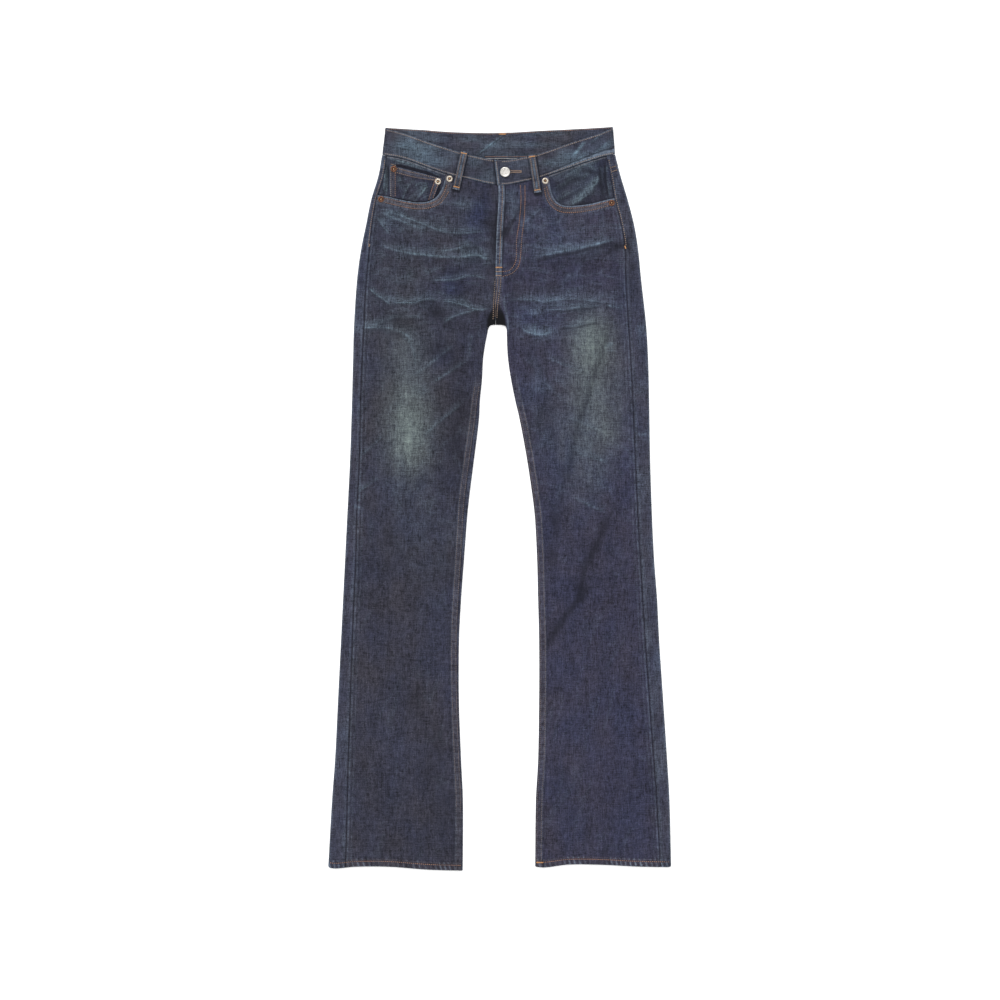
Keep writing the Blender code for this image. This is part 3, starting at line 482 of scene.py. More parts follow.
navyPlaces = (
    # places where the cloth is tinted a deeper blue
    (-30, 430, 20, 34, 0, .9), (-71, 326, 28, 26, 30, .9), (98, 62, 22, 50, -14, .9),
    (150, 28, 30, 14, -38, .6), (34, 276, 26, 22, 0, .6), (-108, 22, 60, 26, 0, .35),
    (-88, 205, 30, 20, 0, .4), (160, -420, 26, 60, 0, .35), (-70, -300, 20, 60, 0, .35),
)
sideFades = ((218, 255, 20, 9, 0, .22), (208, 384, 16, 6, 0, .14))
sideDarks = ((191, 382, 6, 10, 0, .8), (196, 335, 8, 44, 0, .34))
bandFades = (
    (-124, 518, 40, 16, 0, 1.25), (116, 507, 28, 16, 0, 1.3),
    (-36, 504, 15, 9, 0, .6), (72, 504, 12, 6, 0, .8),
)
facingCreases = {
    1: (
        (((100, 436), (120, 447), (136, 462), (146, 476), (148, 488)), 3.2, 1.0, .66, .6),
        (((84, 489), (106, 499), (130, 500), (148, 490)), 3.6, .6, .66, .3),
        (((78, 462), (96, 474), (118, 484), (140, 484)), 3.2, .6, .25, .75),
        (((84, 446), (104, 458), (126, 470)), 3.0, .4, .22, .5),
        (((160, 509), (161, 480), (166, 446)), 1.7, .5, .34, .9),
        (((152, 506), (153, 480), (157, 450)), 1.8, .3, .15, .7),
    ),
    -1: (
        (((-172, 512), (-150, 506), (-120, 499), (-92, 489)), 2.0, .6, .60, .2),
        (((-173.6, 506), (-172.6, 482), (-174, 456)), 1.7, .5, .8, .7),
        (((-169.5, 502), (-168.8, 478), (-170, 452)), 1.3, .4, .7, .7),
    ),
}
facingFades = {
    1: ((137, 470, 20, 7, 52, .31), (117, 451, 18, 5, 32, .32), (124, 478, 16, 5, 34, .14),
        (116, 499, 20, 3.5, 14, .34), (96, 470, 16, 4, 35, .16), (102, 490, 24, 8, 16, .34)),
    -1: ((-130, 501, 36, 3, -14, .30), (-171, 480, 3, 26, 0, .25), (-157, 482, 9, 9, 0, .35),
         (-104, 470, 9, 10, 0, .40)),
}
facingDarks = {
    1: ((104, 480, 22, 4, 30, .50), (136, 489, 13, 3.5, -12, .60), (94, 452, 14, 4, 32, .35),
        (156, 470, 5, 34, 0, .40), (134, 445, 14, 5, 20, .40)),
    -1: ((-96, 468, 8, 14, 0, .30), (-168, 492, 3, 16, 0, .35)),
}
coinCreases = (
    (((-128, 444), (-118, 456), (-107, 470)), 2.4, .5, .75, .5),
    (((-147, 446), (-141, 460), (-134, 474)), 2.2, .4, .45, .6),
    (((-155, 482), (-147, 475), (-138, 481)), 2.4, .4, .40, .4),
    (((-130, 468), (-118, 473), (-106, 471)), 2.2, .3, .30, .4),
    (((-121, 446), (-112, 452), (-104, 457)), 1.8, .3, .40, .3),
)


def ellipses(places, x, y):
    total = np.zeros_like(x)
    for middleX, middleY, halfX, halfY, turn, strength in places:
        lean = math.radians(turn)
        offX, offY = x - middleX, y - middleY
        along = (offX * math.cos(lean) + offY * math.sin(lean)) / halfX
        over = (offY * math.cos(lean) - offX * math.sin(lean)) / halfY
        total += strength * np.exp(-along ** 2 - over ** 2)
    return total


def creaseWearAndShade(gridX, gridY, table, seed=40):
    # rise, light and painted shadow of narrow creases over a grid of places
    x, y = gridX.ravel(), gridY.ravel()
    rise, light, dark = np.zeros((3, x.size))
    for index, (through, width, lift, worn, sunk) in enumerate(table):
        path = smoothPath(through, 4.0)
        path[:, 1] += .8 * patches(path[:, 0], path[:, 1], (15, 15), seed + index)
        near, off, share = fromPath(path, x, y, width * 7)
        below = np.sign(through[0][0] - through[-1][0]) or 1
        fade = within(share, 0, .2, 1, .2)
        uneven = np.clip(.85 + .55 * patches(x[near], y[near], (17, 9), seed + 40 + index), .3, 1.3)
        core = np.maximum(1.0, width * (.42 + .14 * patches(x[near], y[near], (20, 20), seed + 80 + index)))
        halo = bell(off + below * width * 1.3, width * 2.1)
        rise[near] += lift * fade * (bell(off, width * .9) + .3 * halo)
        light[near] += worn * fade * uneven * (.74 * bell(off, core) + .26 * halo)
        # painted shadow on the side below each crease
        dark[near] += sunk * fade * bell(off - below * width * 1.5, width * 1.1)
    return [value.reshape(gridX.shape) for value in (rise, np.clip(light, 0, 1.2), np.clip(dark, 0, 1))]


def scratchLight(x, y, sway=2, lean=.12, width=.8):
    light = np.zeros_like(x)
    for atX, atY, length, count, step, worn in scratches:
        for k in range(count):
            middle = atX + sway * math.sin(3.1 * k)
            along = np.abs(x - middle) / length * 2
            tilt = y - (atY + step * k) + lean * (x - middle)
            light += worn * smooth((1 - along) / .4) * bell(tilt, width)
    return light


def wanderingLines(x, y, size, sharp, seed):
    # thin broken lines that run mostly along x
    shifted = y + 7 * patches(x, y, (55, 60), seed)
    line = np.clip(1 - np.abs(patches(x, shifted, size, seed + 1)) * sharp, 0, 1)
    return line * smooth(.35 + 1.5 * patches(x, shifted, (size[0] * .8, size[1] * 2.5), seed + 2))


def crinkles(side, x, y):
    # fine wrinkles: across the hips, and slanting away from the crotch down the thighs
    hips = within(y, 225, 40, 462, 20)
    across = wanderingLines(x, y, (30, 7.5), 4.2, 301) + .8 * wanderingLines(x, y, (17, 4.6), 3.2, 311)
    slope = -side * .62
    along, over = (x + slope * y) / 1.18, (y - slope * x) / 1.18
    thighs = within(y, -130, 160, 262, 60)
    slant = wanderingLines(along, over, (34, 8.0), 4.6, 321)
    shins = smooth((60 - y) / 120)
    low = wanderingLines(y * .9 + .35 * x, x - .35 * y, (46, 11), 6.0, 331)
    return hips * across + thighs * .75 * slant + shins * .5 * low


# Insets of the inseam's two rows, and the other seam rows, named by where they run
inseamRows = {-1: (1.6, 7.9), 1: (1.3, 8.0)}
seamRows = {
    "fly": (
        ((37.7, 470), (37.9, 448), (36.7, 421), (33.4, 394), (31.9, 374), (30.4, 357), (26.6, 346),
         (17.3, 337), (3.8, 332.5)),
        ((30.8, 470), (31.9, 448), (29.3, 415), (25.3, 388), (24.7, 361), (22, 351),
         (14.6, 342), (3.8, 339.9)),
    ),
    "flyEdge": (((3.8, 469), (3.9, 448), (1.4, 401), (-.2, 351)),),
    "crotch": (
        ((-6.8, 330), (-7.8, 312), (-9.2, 294), (-10.0, 268)),
        ((1.8, 332), (.6, 316), (-1.6, 302), (-3.6, 284), (-4.2, 270)),
        ((-2.6, 332), (-3.8, 314), (-6.0, 296), (-7.2, 272)),
    ),
    "rightMouth": (
        ((-79, 470), (-84.5, 456.5), (-90.5, 448.5), (-99.6, 443.6), (-111, 441.0), (-127, 441.0),
         (-145.4, 444.0), (-164, 448.3), (-176, 450.6)),
        ((-76.5, 460.5), (-83, 449.5), (-90, 441.8), (-100.6, 437.0), (-113, 434.4), (-127, 434.4),
         (-145.4, 437.4), (-164, 441.8), (-172, 443.6)),
    ),
    "leftMouth": (
        ((70, 468), (73.5, 455), (79, 445), (88, 438.2), (100, 435.2), (118, 435.8), (138.4, 438.9),
         (158.3, 443.9), (166, 446.0)),
        ((67, 466), (69.4, 452), (76, 440), (86.8, 431.7), (98.6, 428.6), (117.2, 429.2), (138.4, 432.4),
         (158.3, 437.4), (163, 438.8)),
    ),
}
print("tables ready")


# ---- shells
def clothShell(name, outer, inner, material, masks, coarse=4, inside=None):
    # closed thin shell: a fine outer grid, a coarse inner one, joined along the rim
    rows, columns = outer.shape[:2]
    outer[..., 2] = np.maximum(outer[..., 2], 0)  # nothing sinks into the surface
    pickRows = np.unique(np.append(np.arange(0, rows, coarse), rows - 1))
    pickColumns = np.unique(np.append(np.arange(0, columns, coarse), columns - 1))
    points = np.concatenate([outer.reshape(-1, 3), inner[np.ix_(pickRows, pickColumns)].reshape(-1, 3)]) * mm
    base, across = rows * columns, len(pickColumns)
    ids = np.arange(base).reshape(rows, columns)
    quads = np.stack([ids[:-1, :-1], ids[:-1, 1:], ids[1:, 1:], ids[1:, :-1]], -1).reshape(-1, 4)
    low = base + np.arange(len(pickRows) * across).reshape(len(pickRows), across)
    under = np.stack([low[:-1, :-1], low[1:, :-1], low[1:, 1:], low[:-1, 1:]], -1).reshape(-1, 4)
    faces = quads.tolist() + under.tolist()
    for picks, fine, rough, way in ((pickColumns, ids, low, -1), (pickRows, ids.T, low.T, 1)):
        for k in range(len(picks) - 1):
            for edge, turn in ((0, way), (-1, -way)):
                span = fine[edge, picks[k]:picks[k + 1] + 1][::turn]
                faces.append(span.tolist() + rough[edge, k:k + 2][::-turn].tolist())
    mesh = bpy.data.meshes.new(name)
    mesh.from_pydata(points.tolist(), [], faces)
    i, j = rows // 2, columns // 2
    normal = np.cross(outer[i, j + 1] - outer[i, j], outer[i + 1, j] - outer[i, j])
    if normal @ (outer[i, j] - inner[i, j]) < 0:
        mesh.flip_normals()
    mesh.validate()
    mesh.shade_smooth()
    mesh.set_sharp_from_angle(angle=math.radians(55))
    keys = ("light", "fade", "edge", "warm", "shade", "navy")
    values = {key: np.zeros(len(points), np.float32) for key in keys}
    for key, mask in masks.items():
        # past 1 the shade goes black
        values[key][:base] = np.clip(mask.ravel(), 0, 1.7 if key == "shade" else 1)
    for key, mask in (inside or {}).items():
        values[key][base:] = np.clip(mask[np.ix_(pickRows, pickColumns)].ravel(), 0, 1)
    wear = np.stack([values["light"], values["fade"], values["edge"], np.ones(len(points), np.float32)], 1)
    mesh.attributes.new("wear", "FLOAT_COLOR", "POINT").data.foreach_set("color", wear.ravel())
    for key in ("warm", "shade", "navy"):
        mesh.attributes.new(key, "FLOAT", "POINT").data.foreach_set("value", values[key])
    mesh.materials.append(material)
    return addObject(name, mesh)


def walled(tube, rise):
    # outer and inner points of a tube surface with relief added to its upper side
    x, y, z, wall = tube["x"], tube["y"], tube["z"] + rise, tube["wall"]
    return np.stack([x, y, z], -1), np.stack([x - tube["leanX"] * wall, y, z - tube["leanZ"] * wall], -1)


def columnPlaces(start, end, count):
    # distances across a panel, closer together at both edges
    first, last = start + np.array(seamEdges), end - np.array(seamEdges)[::-1]
    middle = mix(first[:, -1:], last[:, :1], np.linspace(0, 1, count + 2)[None, 1:-1])
    return np.concatenate([first, middle, last], 1)


def seamPucker(y, seed, size=7.0):
    # small uneven waves that a row of stitches draws into the cloth
    phase = 2.2 * patches(y, y * 0, (23, 1), seed) + 2 * math.pi * y / size
    return np.sin(phase) * (.7 + .5 * patches(y, y * 0, (31, 1), seed + 1))


def drape(x, y):
    # slow unevenness of cloth that has been worn, washed and laid down
    onLegs = .22 * patches(x, y, (26, 150), 3) + .10 * patches(x, y, (9, 70), 4)
    onHips = .30 * patches(x, y, (48, 34), 5) + .14 * patches(x, y, (17, 13), 6)
    return mix(onLegs, onHips, smooth((y - 150) / 150)) + .05 * patches(x, y, (5, 4), 7)


def hemWave(x, up, seed, lean=.3):
    # uneven twist of a chain-stitched hem along its length, from -1 to 1
    slant = x + lean * up + 3.0 * patches(x, x * 0, (30, 1), seed)
    return np.sin(2 * math.pi * slant / 7.6) * (.75 + .35 * patches(x, x * 0, (16, 1), seed + 1))


def hemRelief(x, up, seed):
    # roping over the fold, sunk stitch row, rounded lower edge
    rope = hemWave(x, up, seed) * smooth(up / 1.5) * smooth((cloth["hemDepth"] - .5 - up) / 3)
    return np.where(up < 20, .34 * rope - .35 * bell(up - cloth["hemRow"], .8) - 1.5 * bell(up, .9), 0)


def hemMarks(x, up, seed):
    # worn crests of the hem, painted shade in its hollows and along the top of the fold, and the row of
    # light dots above its stitches
    near = smooth((20 - up) / 2)
    crest = smooth((hemWave(x, up, seed) - .38) / .5)
    hollow = smooth((.2 - hemWave(x, up, seed)) / .7)
    below = smooth((7.4 - up) / .8) * smooth(up / .8)
    patchy = np.clip(.85 + .5 * patches(x, x * 0, (24, 1), seed + 2), .45, 1.2)
    light = crest * patchy * (.85 * below + .80 * bell(up - 10.8, 1.2)) + .2 * bell(up - .8, 1.0)
    dark = below * hollow * .48 + .36 * bell(up - 9.3, .9) + .40 * bell(up - 12.8, 1.1) * hollow
    return near * light, near * dark


def stitchedRow(x, y, path, reach=5.0, pitch=3.0):
    # sunk line and ladder of puckers along a row of stitches: rise, light, and painted shade in the sunk
    # line
    rise, light, dark = np.zeros((3, x.size))
    line = smoothPath(path, 3)
    near, off, share = fromPath(line, x, y, reach)
    length = 3.0 * (len(line) - 1)
    ladder = ticks(share * length, pitch * 2, patches(x[near], y[near], (14, 14), 17))
    strength = smooth(.6 + .7 * patches(x[near], y[near], (22, 22), 18))
    rise[near] = -.28 * bell(off, .9) + .16 * bell(np.abs(off) - 2.2, 1.3) * ladder * strength
    light[near] = .20 * bell(np.abs(off) - 2.2, 1.4) * ladder * strength
    dark[near] = .34 * bell(off, 1.1)
    return rise, light, dark


def addRows(x, y, rows, rise, edge, dark, reach=5.0):
    # adds the marks of stitched rows and gives their share of the painted shade too
    sunk = np.zeros_like(x)
    for row in rows:
        more = stitchedRow(x, y, row, reach)
        rise, edge, dark, sunk = rise + more[0], edge + more[1], dark + more[2], sunk + more[2]
    return rise, edge, dark, sunk


def centreBands(side, tube):
    # relief, wear and painted shade of the fly's edge, the stitched rows beside it and the crotch seam
    x, y = tube["x"].ravel(), tube["y"].ravel()
    rise, edge, dark, warm = np.zeros((4, x.size))
    away = x - centreLine(y)
    high = smooth((y - 330) / 6)
    low = (1 - high) * smooth((y - 262) / 12)
    if side > 0:
        puckers = seamPucker(y, 11, 6.0)
        band = smooth((9.4 - away) / 1.2)
        rise += high * (.45 * band * (1 + .3 * puckers) - 1.0 * bell(away, .7))
        ladders = ticks(y, 3.4, puckers)
        edge += high * (1.0 * bell(away - 1.0, .95) + .5 * band * (.10 + .25 * puckers + .85 * ladders)
                        + .75 * bell(away - 8.4, .9))
        # painted shade beyond the fly's band and between its puckers
        dark += high * (1.1 * bell(away - 10.6, 1.2) + .5 * bell(away - 3.6, 1.2) * (1 - .6 * ladders))
        rows = seamRows["fly"] + seamRows["flyEdge"]
        crumple = wanderingLines(.55 * x + .83 * y, .83 * x - .55 * y, (17, 6.5), 3.0, 16)
        inside = high * within(away, 9, 2, 28, 3)
        rise += .5 * inside * crumple
        edge += .28 * inside * crumple
        dark += .35 * inside * smooth(.2 + 1.4 * patches(x, y, (9, 16), 19))
        # painted shade along a fold beside the fly
        fold = slantLine(x, y, (11, 406), (.84, .54), 2.6) * within(y, 386, 12, 428, 18)
        dark += .60 * high * fold * (.8 + .4 * patches(x, y, (6, 6), 23))
    else:
        # painted shadow that the fly's edge casts on the panel under it
        deepest = within(y, 378, 14, 440, 16)
        dark += high * (.42 + .5 * deepest) * bell(away + 1.4, 1.9)
        dark += high * .14 * smooth(-away / 3) * smooth((15 + away) / 10)
        rows = ()
    rise, edge, dark, sunk = addRows(x, y, rows + seamRows["crotch"], rise, edge, dark)
    warm += .5 * sunk
    rise += low * (.35 * bell(away - 3, 4) - .7 * bell(away, .8))
    seam = low * smooth((7 - np.abs(away - 3)) / 1.6)
    edge += .22 * seam * (.6 + .5 * seamPucker(y, 20, 5.0))
    # painted shade beside the crotch seam
    dark += .55 * low * bell(away + 2.6, 1.3)
    warm += .25 * seam
    return [value.reshape(tube["x"].shape) for value in (rise, edge, dark, warm)]


def mouthBands(side, tube):
    # hem of the pocket mouth: rolled edge, two sunk stitch rows, puckers and painted shade between them
    x, y = tube["x"].ravel(), tube["y"].ravel()
    rise, edge, dark, warm = np.zeros((4, x.size))
    table = mouths[side]
    line = list(zip(table["x"], table["y"]))[:-1]
    near, off = fromPath(smoothPath(line, 3), x, y, 16)[:2]
    away = np.abs(off)
    slant = x[near] - y[near] * .6
    wave = seamPucker(slant, 21 + side, 5.2)
    inBand = smooth((11.2 - away) / 1.5)
    rise[near] += .5 * inBand * (1 + .3 * wave) - 1.0 * bell(away, .8)
    tick = ticks(slant, 3.1, wave)
    edge[near] += .85 * bell(away - 1.0, .85) * (.6 + .4 * tick)
    edge[near] += .3 * bell(away - 12.5, 1.6) * (.5 + .5 * wave)
    edge[near] += .42 * inBand * (.35 + .3 * wave + .35 * tick)
    dark[near] += .50 * bell(away - 5.4, 1.4) * (.7 - .4 * wave) + .22 * bell(away - 9.6, 1.0)
    warm[near] += .70 * inBand * smooth((away - 1.6) / 1.6)
    rows = seamRows["rightMouth" if side < 0 else "leftMouth"]
    rise, edge, dark = addRows(x, y, rows, rise, edge, dark, 4.5)[:3]
    return [value.reshape(tube["x"].shape) for value in (rise, edge, dark, warm)]


def loopShade(x, y):
    # painted shadow beside and below the front belt loops, which stand off the cloth
    dark = np.zeros_like(x)
    for spec in frontLoops:
        (x0, y0), (x1, y1) = spec["top"], spec["bottom"]
        length = math.hypot(x1 - x0, y1 - y0)
        along = ((x - x0) * (x1 - x0) + (y - y0) * (y1 - y0)) / length
        lean = ((x1 - x0) * (y - y0) - (y1 - y0) * (x - x0)) / length
        off = np.abs(lean)
        away = np.hypot(np.maximum(off - loop["width"] / 2, 0), np.maximum(along - length, 0))
        dark += mix(.55, 1.1, smooth(.5 + lean / 4)) * smooth((3.4 - away) / 2.2) * smooth((along + 3) / 3)
        dark += 2.0 * smooth((7 - off) / 2) * within(along, length - 3, 2, length + 5.2, 2.4)
    return dark


def softWearAndShade(x, y):
    # faded and light places of the front, and its painted shade
    fade = ellipses(thighFades, x, y)
    grain = .92 + .16 * patches(x, y, (3.4, 46), 31) + .14 * patches(x, y, (30, 3.2), 32)
    grain += .1 * patches(x, y, (9, 9), 33)
    light = .72 * ellipses(blueFades, x, y) * (.7 + .6 * patches(x, y, (16, 11), 34))
    dark = ellipses(shadePlaces, x, y) * (.8 + .5 * patches(x, y, (20, 26), 35))
    return np.clip(fade * grain, 0, 1), light, dark


def crotchShade(x, y):
    # the hollow under the fly, where the cloth sinks out of the light
    down = crotch["dipStart"] - y
    half = mix(4.5, 15.0, smooth(down / 34))
    middle = mix(-3.5, -5.0, smooth(down / 30))
    return smooth(down / 16) * smooth((half - np.abs(x - middle)) / 3.5)


def crotchRim(x, y):
    # the lit rim of the wearer's left leg beside that hollow
    middle = mix(6.0, 12.5, smooth((302 - y) / 44))
    return .42 * within(y, 246, 12, 304, 8) * bell(x - middle, 1.5)


def panelRows(side, share, topY, topX, first, middle, topLine, steps):
    # rows of a panel from its slanting upper edge to the hem, and the way they bend
    rows = joinRows(rowSizes(side, topY, innerX=middle(topX)), legRows(side, first, middle, steps))
    shares = np.concatenate([share, np.ones(len(rows["sideY"]) - len(share))])[:, None]
    eased = hemBend(side, rows)

    def bend(x, y):
        return np.where(shares < 1, mix(topLine(rows, x), first, shares), eased(x, y))

    return rows, bend


def frontPanel(side, name, material):

    def middle(y):
        tongue = (fly["width"] - 3) * smooth((y - fly["bottom"]) / 20) if side < 0 else 0.0
        return centreLine(y) + side * cloth["gap"] / 2 + tongue

    share = stepped(0, 1, .024)[:-1]
    first = cloth["frontRows"]
    mouthSide = float(frontTop(side, side * curveValue(*seamTable(side), cloth["mouthY"])))
    steps = {"hip": 1.5, "crotch": .25, "leg": 2.5,
             "hemUps": [14, 12.6, 11.6, 11, 10.6, 10.2, 9.6, 9, 8.4, 7.8, 7, 6, 5, 4, 3, 2.1, 1.3,
                        .7, .25, 0]}
    rows, bend = panelRows(side, share, mix(mouthSide, first, share), mix(cloth["flyY"], first, share),
                           first, middle, lambda rows, x: frontTop(side, x), steps)
    gap = cloth["gap"] / 2
    width = np.abs(rows["inner"] - rows["outer"])[:, None]
    places = columnPlaces(rows["outseam"][:, None] + gap, width - rows["inseam"][:, None] - gap, 128)
    tube = tubePoint(side, rows, turnAt(rows, places), bend)
    rise, masks = frontRelief(tube, side)
    outer, inner = walled(tube, rise * smooth((tube["across"] - 1) / 4))
    return clothShell(name, outer, inner, material, masks, coarse=5)


def frontRelief(tube, side):
    # height, wear and painted shade of a front panel's upper face
    x, y, up = tube["x"], tube["y"], tube["hemUp"]
    fromOut = tube["across"] - tube["outseam"]
    fromIn = tube["width"] - tube["inseam"] - tube["across"]
    rise, light, dark = creaseWearAndShade(x, y, creases)
    wrinkle = crinkles(side, x, y)
    rise, light = rise + .28 * wrinkle, light + .13 * wrinkle + scratchLight(x, y)
    fade, softLight, softDark = softWearAndShade(x, y)
    aboveHem = smooth(up / 10.5)
    # outseam: pressed edge, soft ridge of the allowance under it, painted shade in its groove
    ridge = .26 * bell(fromOut - 3.4, 1.7) - .12 * bell(fromOut - 6.6, 1.4)
    rise += aboveHem * ridge - .75 * bell(fromOut, .7)
    edge = aboveHem * (.26 * bell(fromOut - 2.6, 1.2) + .12 * bell(fromOut - 8, 1.2))
    edge = edge * (1 + .5 * seamPucker(y, 51, 19))
    dark = dark + loopShade(x, y) + .45 * bell(fromOut, .8) + .12 * aboveHem * bell(fromOut - 5.2, 1.2)
    # inseam: felled band with two sunk rows and puckers, painted shade beside it and between its stitches
    legPart = smooth((236 - y) / 14)
    started = legPart * smooth((200 - y) / 40)
    fromFelt = fromIn - cloth["feltWidth"]
    waves = seamPucker(y, 52 + side, 6.4)
    felled = legPart * smooth(-fromFelt / 1.3)
    rise += felled * (.34 + .13 * waves) - legPart * .8 * bell(fromIn, .6)
    for offset in inseamRows[side]:
        rise -= legPart * .28 * bell(fromIn - offset, .8)
    tick = ticks(y, 3.3, waves)
    edge += started * (.24 * bell(fromFelt + .8, 1.0) + .22 * felled * (.10 + .40 * waves + .5 * tick))
    warm = started * .26 * smooth((.6 - fromFelt) / 1.5)
    dark += started * (.30 * bell(fromFelt - 1.6, 1.6) + .42 * bell(fromIn - 4.6, 1.8) * (1 - tick))
    # hem, and slow pull marks above its row
    rise += hemRelief(x, up, 60 + side)
    hemLight, hemDark = hemMarks(x, up, 60 + side)
    pull = np.sin(2 * math.pi * x / 9.5 + 3 * patches(x, y, (40, 40), 62))
    rise += .16 * smooth((26 - up) / 12) * pull * (up < 900)
    bands, bandEdge, bandDark, bandWarm = centreBands(side, tube)
    mouth, mouthEdge, mouthDark, mouthWarm = mouthBands(side, tube)
    rise = rise + drape(x, y) * smooth(fromOut / 6) * smooth((up - 1) / 12) + bands + mouth
    dark = dark + hemDark + bandDark + mouthDark
    hollow = crotchShade(x, y)
    shade = np.clip(dark * .8 + softDark + 1.5 * hollow, 0, 1) + .7 * hollow * smooth((285 - y) / 12)
    edge = edge + hemLight + bandEdge + mouthEdge + crotchRim(x, y)
    warm = warm + bandWarm + mouthWarm + .3 * (up < 12)
    navy = ellipses(navyPlaces, x, y) * (.8 + .4 * patches(x, y, (14, 22), 36))
    return rise, {"light": light + softLight, "fade": fade, "edge": edge, "shade": shade, "warm": warm,
                  "navy": navy}


def seamTable(side):
    leg = legs[side]
    return leg["y"], tuple(edge - inset for edge, inset in zip(leg["outer"], leg["outseam"]))


def backTurns(rows, steps):
    # places round the side and underneath, from the outseam to the inseam
    def shares(key):
        return np.linspace(0, 1, steps[key] + 1)[None, 1:]

    gap = cloth["gap"] / 2
    radius = rows["height"][:, None] / 2
    start = rows["outseam"][:, None] - gap
    inward = mix(start - seamEdges[-1], radius + 0 * start, shares("strip"))
    strip = np.concatenate([start - np.array(seamEdges), inward], 1)
    width = np.abs(rows["inner"] - rows["outer"])[:, None]
    inseamPlace = width - rows["inseam"][:, None]
    endTurn = turnAt(rows, np.minimum(inseamPlace + gap, width)) - 6
    endTurn = np.where(rows["dip"][:, None] > 0, endTurn, np.maximum(endTurn, -4 + .01))
    reach = rows["dipWidth"][:, None]
    flatEnd = np.where(inseamPlace > width - reach, np.minimum(endTurn, -3), endTurn)
    arc = 1 - shares("arc") * 2
    flat = -1 - shares("flat")
    roll = mix(-2, flatEnd, shares("roll"))
    ones = np.ones_like(start)
    return np.concatenate([turnAt(rows, strip), arc * ones, flat * ones, roll], 1)


def backMasks(tube, side, seed):
    x, y, across = tube["x"], tube["y"], tube["across"]
    fromOut = tube["outseam"] - across
    strip = tube["top"] & (across < tube["width"] / 2)
    hemLight, hemDark = hemMarks(x, tube["hemUp"], 60 + side)
    light = .16 * patches(x, y, (12, 34), seed) + ellipses(sideFades, side * x, y)
    edge = .34 * bell(across, 2.2) * (1 + .6 * patches(x, y, (9, 26), seed + 1))
    edge = edge + strip * (.16 * bell(fromOut - 3, 1.4) + hemLight)
    # painted shade in the outseam's groove and the hem's hollows, and dark places
    shade = strip * (.5 * bell(fromOut, .9) + .8 * hemDark + ellipses(sideDarks, x, y))
    return {"light": light + scratchLight(x, y, 0, 0, .9), "edge": edge, "shade": np.clip(shade, 0, 1)}


def backRelief(tube, side):
    x, y, up, across = tube["x"], tube["y"], tube["hemUp"], tube["across"]
    fromOut = tube["outseam"] - across
    strip = tube["top"] & (across < tube["width"] / 2)
    rise = -.75 * bell(fromOut, .7) + .14 * bell(fromOut - 3, 1.6) + smooth(across / 5) * .5 * drape(x, y)
    return strip * (rise + hemRelief(x, up, 60 + side) * smooth(across / 3)) + underRelief(tube)


def underRelief(tube):
    # the underside lies flat, only its seams and creases pull up off the surface a little
    x, y = tube["x"], tube["y"]
    under = ~tube["top"] & (tube["across"] > 6)
    creased = np.maximum(0, .5 * patches(x, y, (60, 18), 71) + .3 * patches(x, y, (22, 120), 72))
    return under * creased * .5 * smooth((tube["across"] - 6) / 12)


def yokeLine(rows, x):
    # the yoke's lower seam, from the side to the centre back
    return mix(cloth["yokeSide"], cloth["yokeCentre"], shareAcross(rows, x))


def backPanel(side, name, material):

    def middle(y):
        return centreBackLine(y) + side * cloth["gap"] / 2

    share = stepped(0, 1, .07)[:-1]
    first, yokeY = cloth["backRows"], cloth["yokeSide"]
    steps = {"hip": 3.0, "crotch": .34, "leg": 4.0,
             "hemUps": [14, 12, 11, 10.5, 10, 9, 8, 7, 5.5, 4, 2.6, 1.4, .6, 0]}
    rows, bend = panelRows(side, share, mix(yokeY, first, share), np.full_like(share, yokeY), first, middle,
                           lambda rows, x: yokeLine(rows, x) - cloth["gap"], steps)
    turn = backTurns(rows, {"strip": 12, "arc": 8, "flat": 44, "roll": 12})
    tube = tubePoint(side, rows, turn, bend)
    outer, inner = walled(tube, backRelief(tube, side))
    return clothShell(name, outer, inner, material, backMasks(tube, side, 92 + side), coarse=3)


def yokePanel(side, name, material):
    share = np.linspace(0, 1, 19)
    rows = rowSizes(side, mix(cloth["waistY"], cloth["yokeSide"], share),
                    innerX=np.full_like(share, cloth["centreBack"] + side * cloth["gap"] / 2))
    turn = backTurns(rows, {"strip": 12, "arc": 8, "flat": 60, "roll": 4})

    def bend(x, y):
        upper = np.where(turn > 0, frontSeam(x), tableValue(backBand, "bottom", x))
        return mix(upper - cloth["bandGap"], yokeLine(rows, x), share[:, None])

    tube = tubePoint(side, rows, turn, bend)
    outer, inner = walled(tube, backRelief(tube, side))
    return clothShell(name, outer, inner, material, backMasks(tube, side, 96 + side), coarse=3)


# ---- waistband
band = {
    "wall": 1.8, "height": 5.4, "lapRise": 2.1, "lapEnd": 30.0, "lapFade": 62.0,
    "rightTop": -171.3, "rightBottom": -176.3, "leftTop": 169.9, "leftBottom": 173.0,
    "lapTop": -8.2, "lapBottom": -3.6, "lapStations": 60,
    "rows": 34, "step": 1.3, "edgeStitch": 2.2,
}
backLoopsX = (-115.0, 4.0, 115.0)


def lapRise(x):
    return band["lapRise"] * smooth((band["lapFade"] - x) / (band["lapFade"] - band["lapEnd"] - 3))


def backLoopRise(x):
    away = np.min([np.abs(x - place) for place in backLoopsX], axis=0)
    return (cloth["patchWall"] + cloth["gap"]) * smooth((14 - away) / 6)


def bandFold(side):
    # the strip's half turn at one side of the waist, from the front to the back
    key, end = ("left", -1) if side > 0 else ("right", 0)
    radius = band["height"] / 2
    fold = []
    for share in np.linspace(0, 1, 15):
        angle = math.pi / 2 - math.pi * share
        move = side * radius * (math.cos(angle) - 1)
        fold.append(((band[key + "Top"] + move, mix(frontBand["top"][end], backBand["top"][end], share)),
                     (band[key + "Bottom"] + move, backBand["bottom"][end]),
                     (side * math.cos(angle), math.sin(angle), radius * (1 + math.sin(angle)))))
    return fold


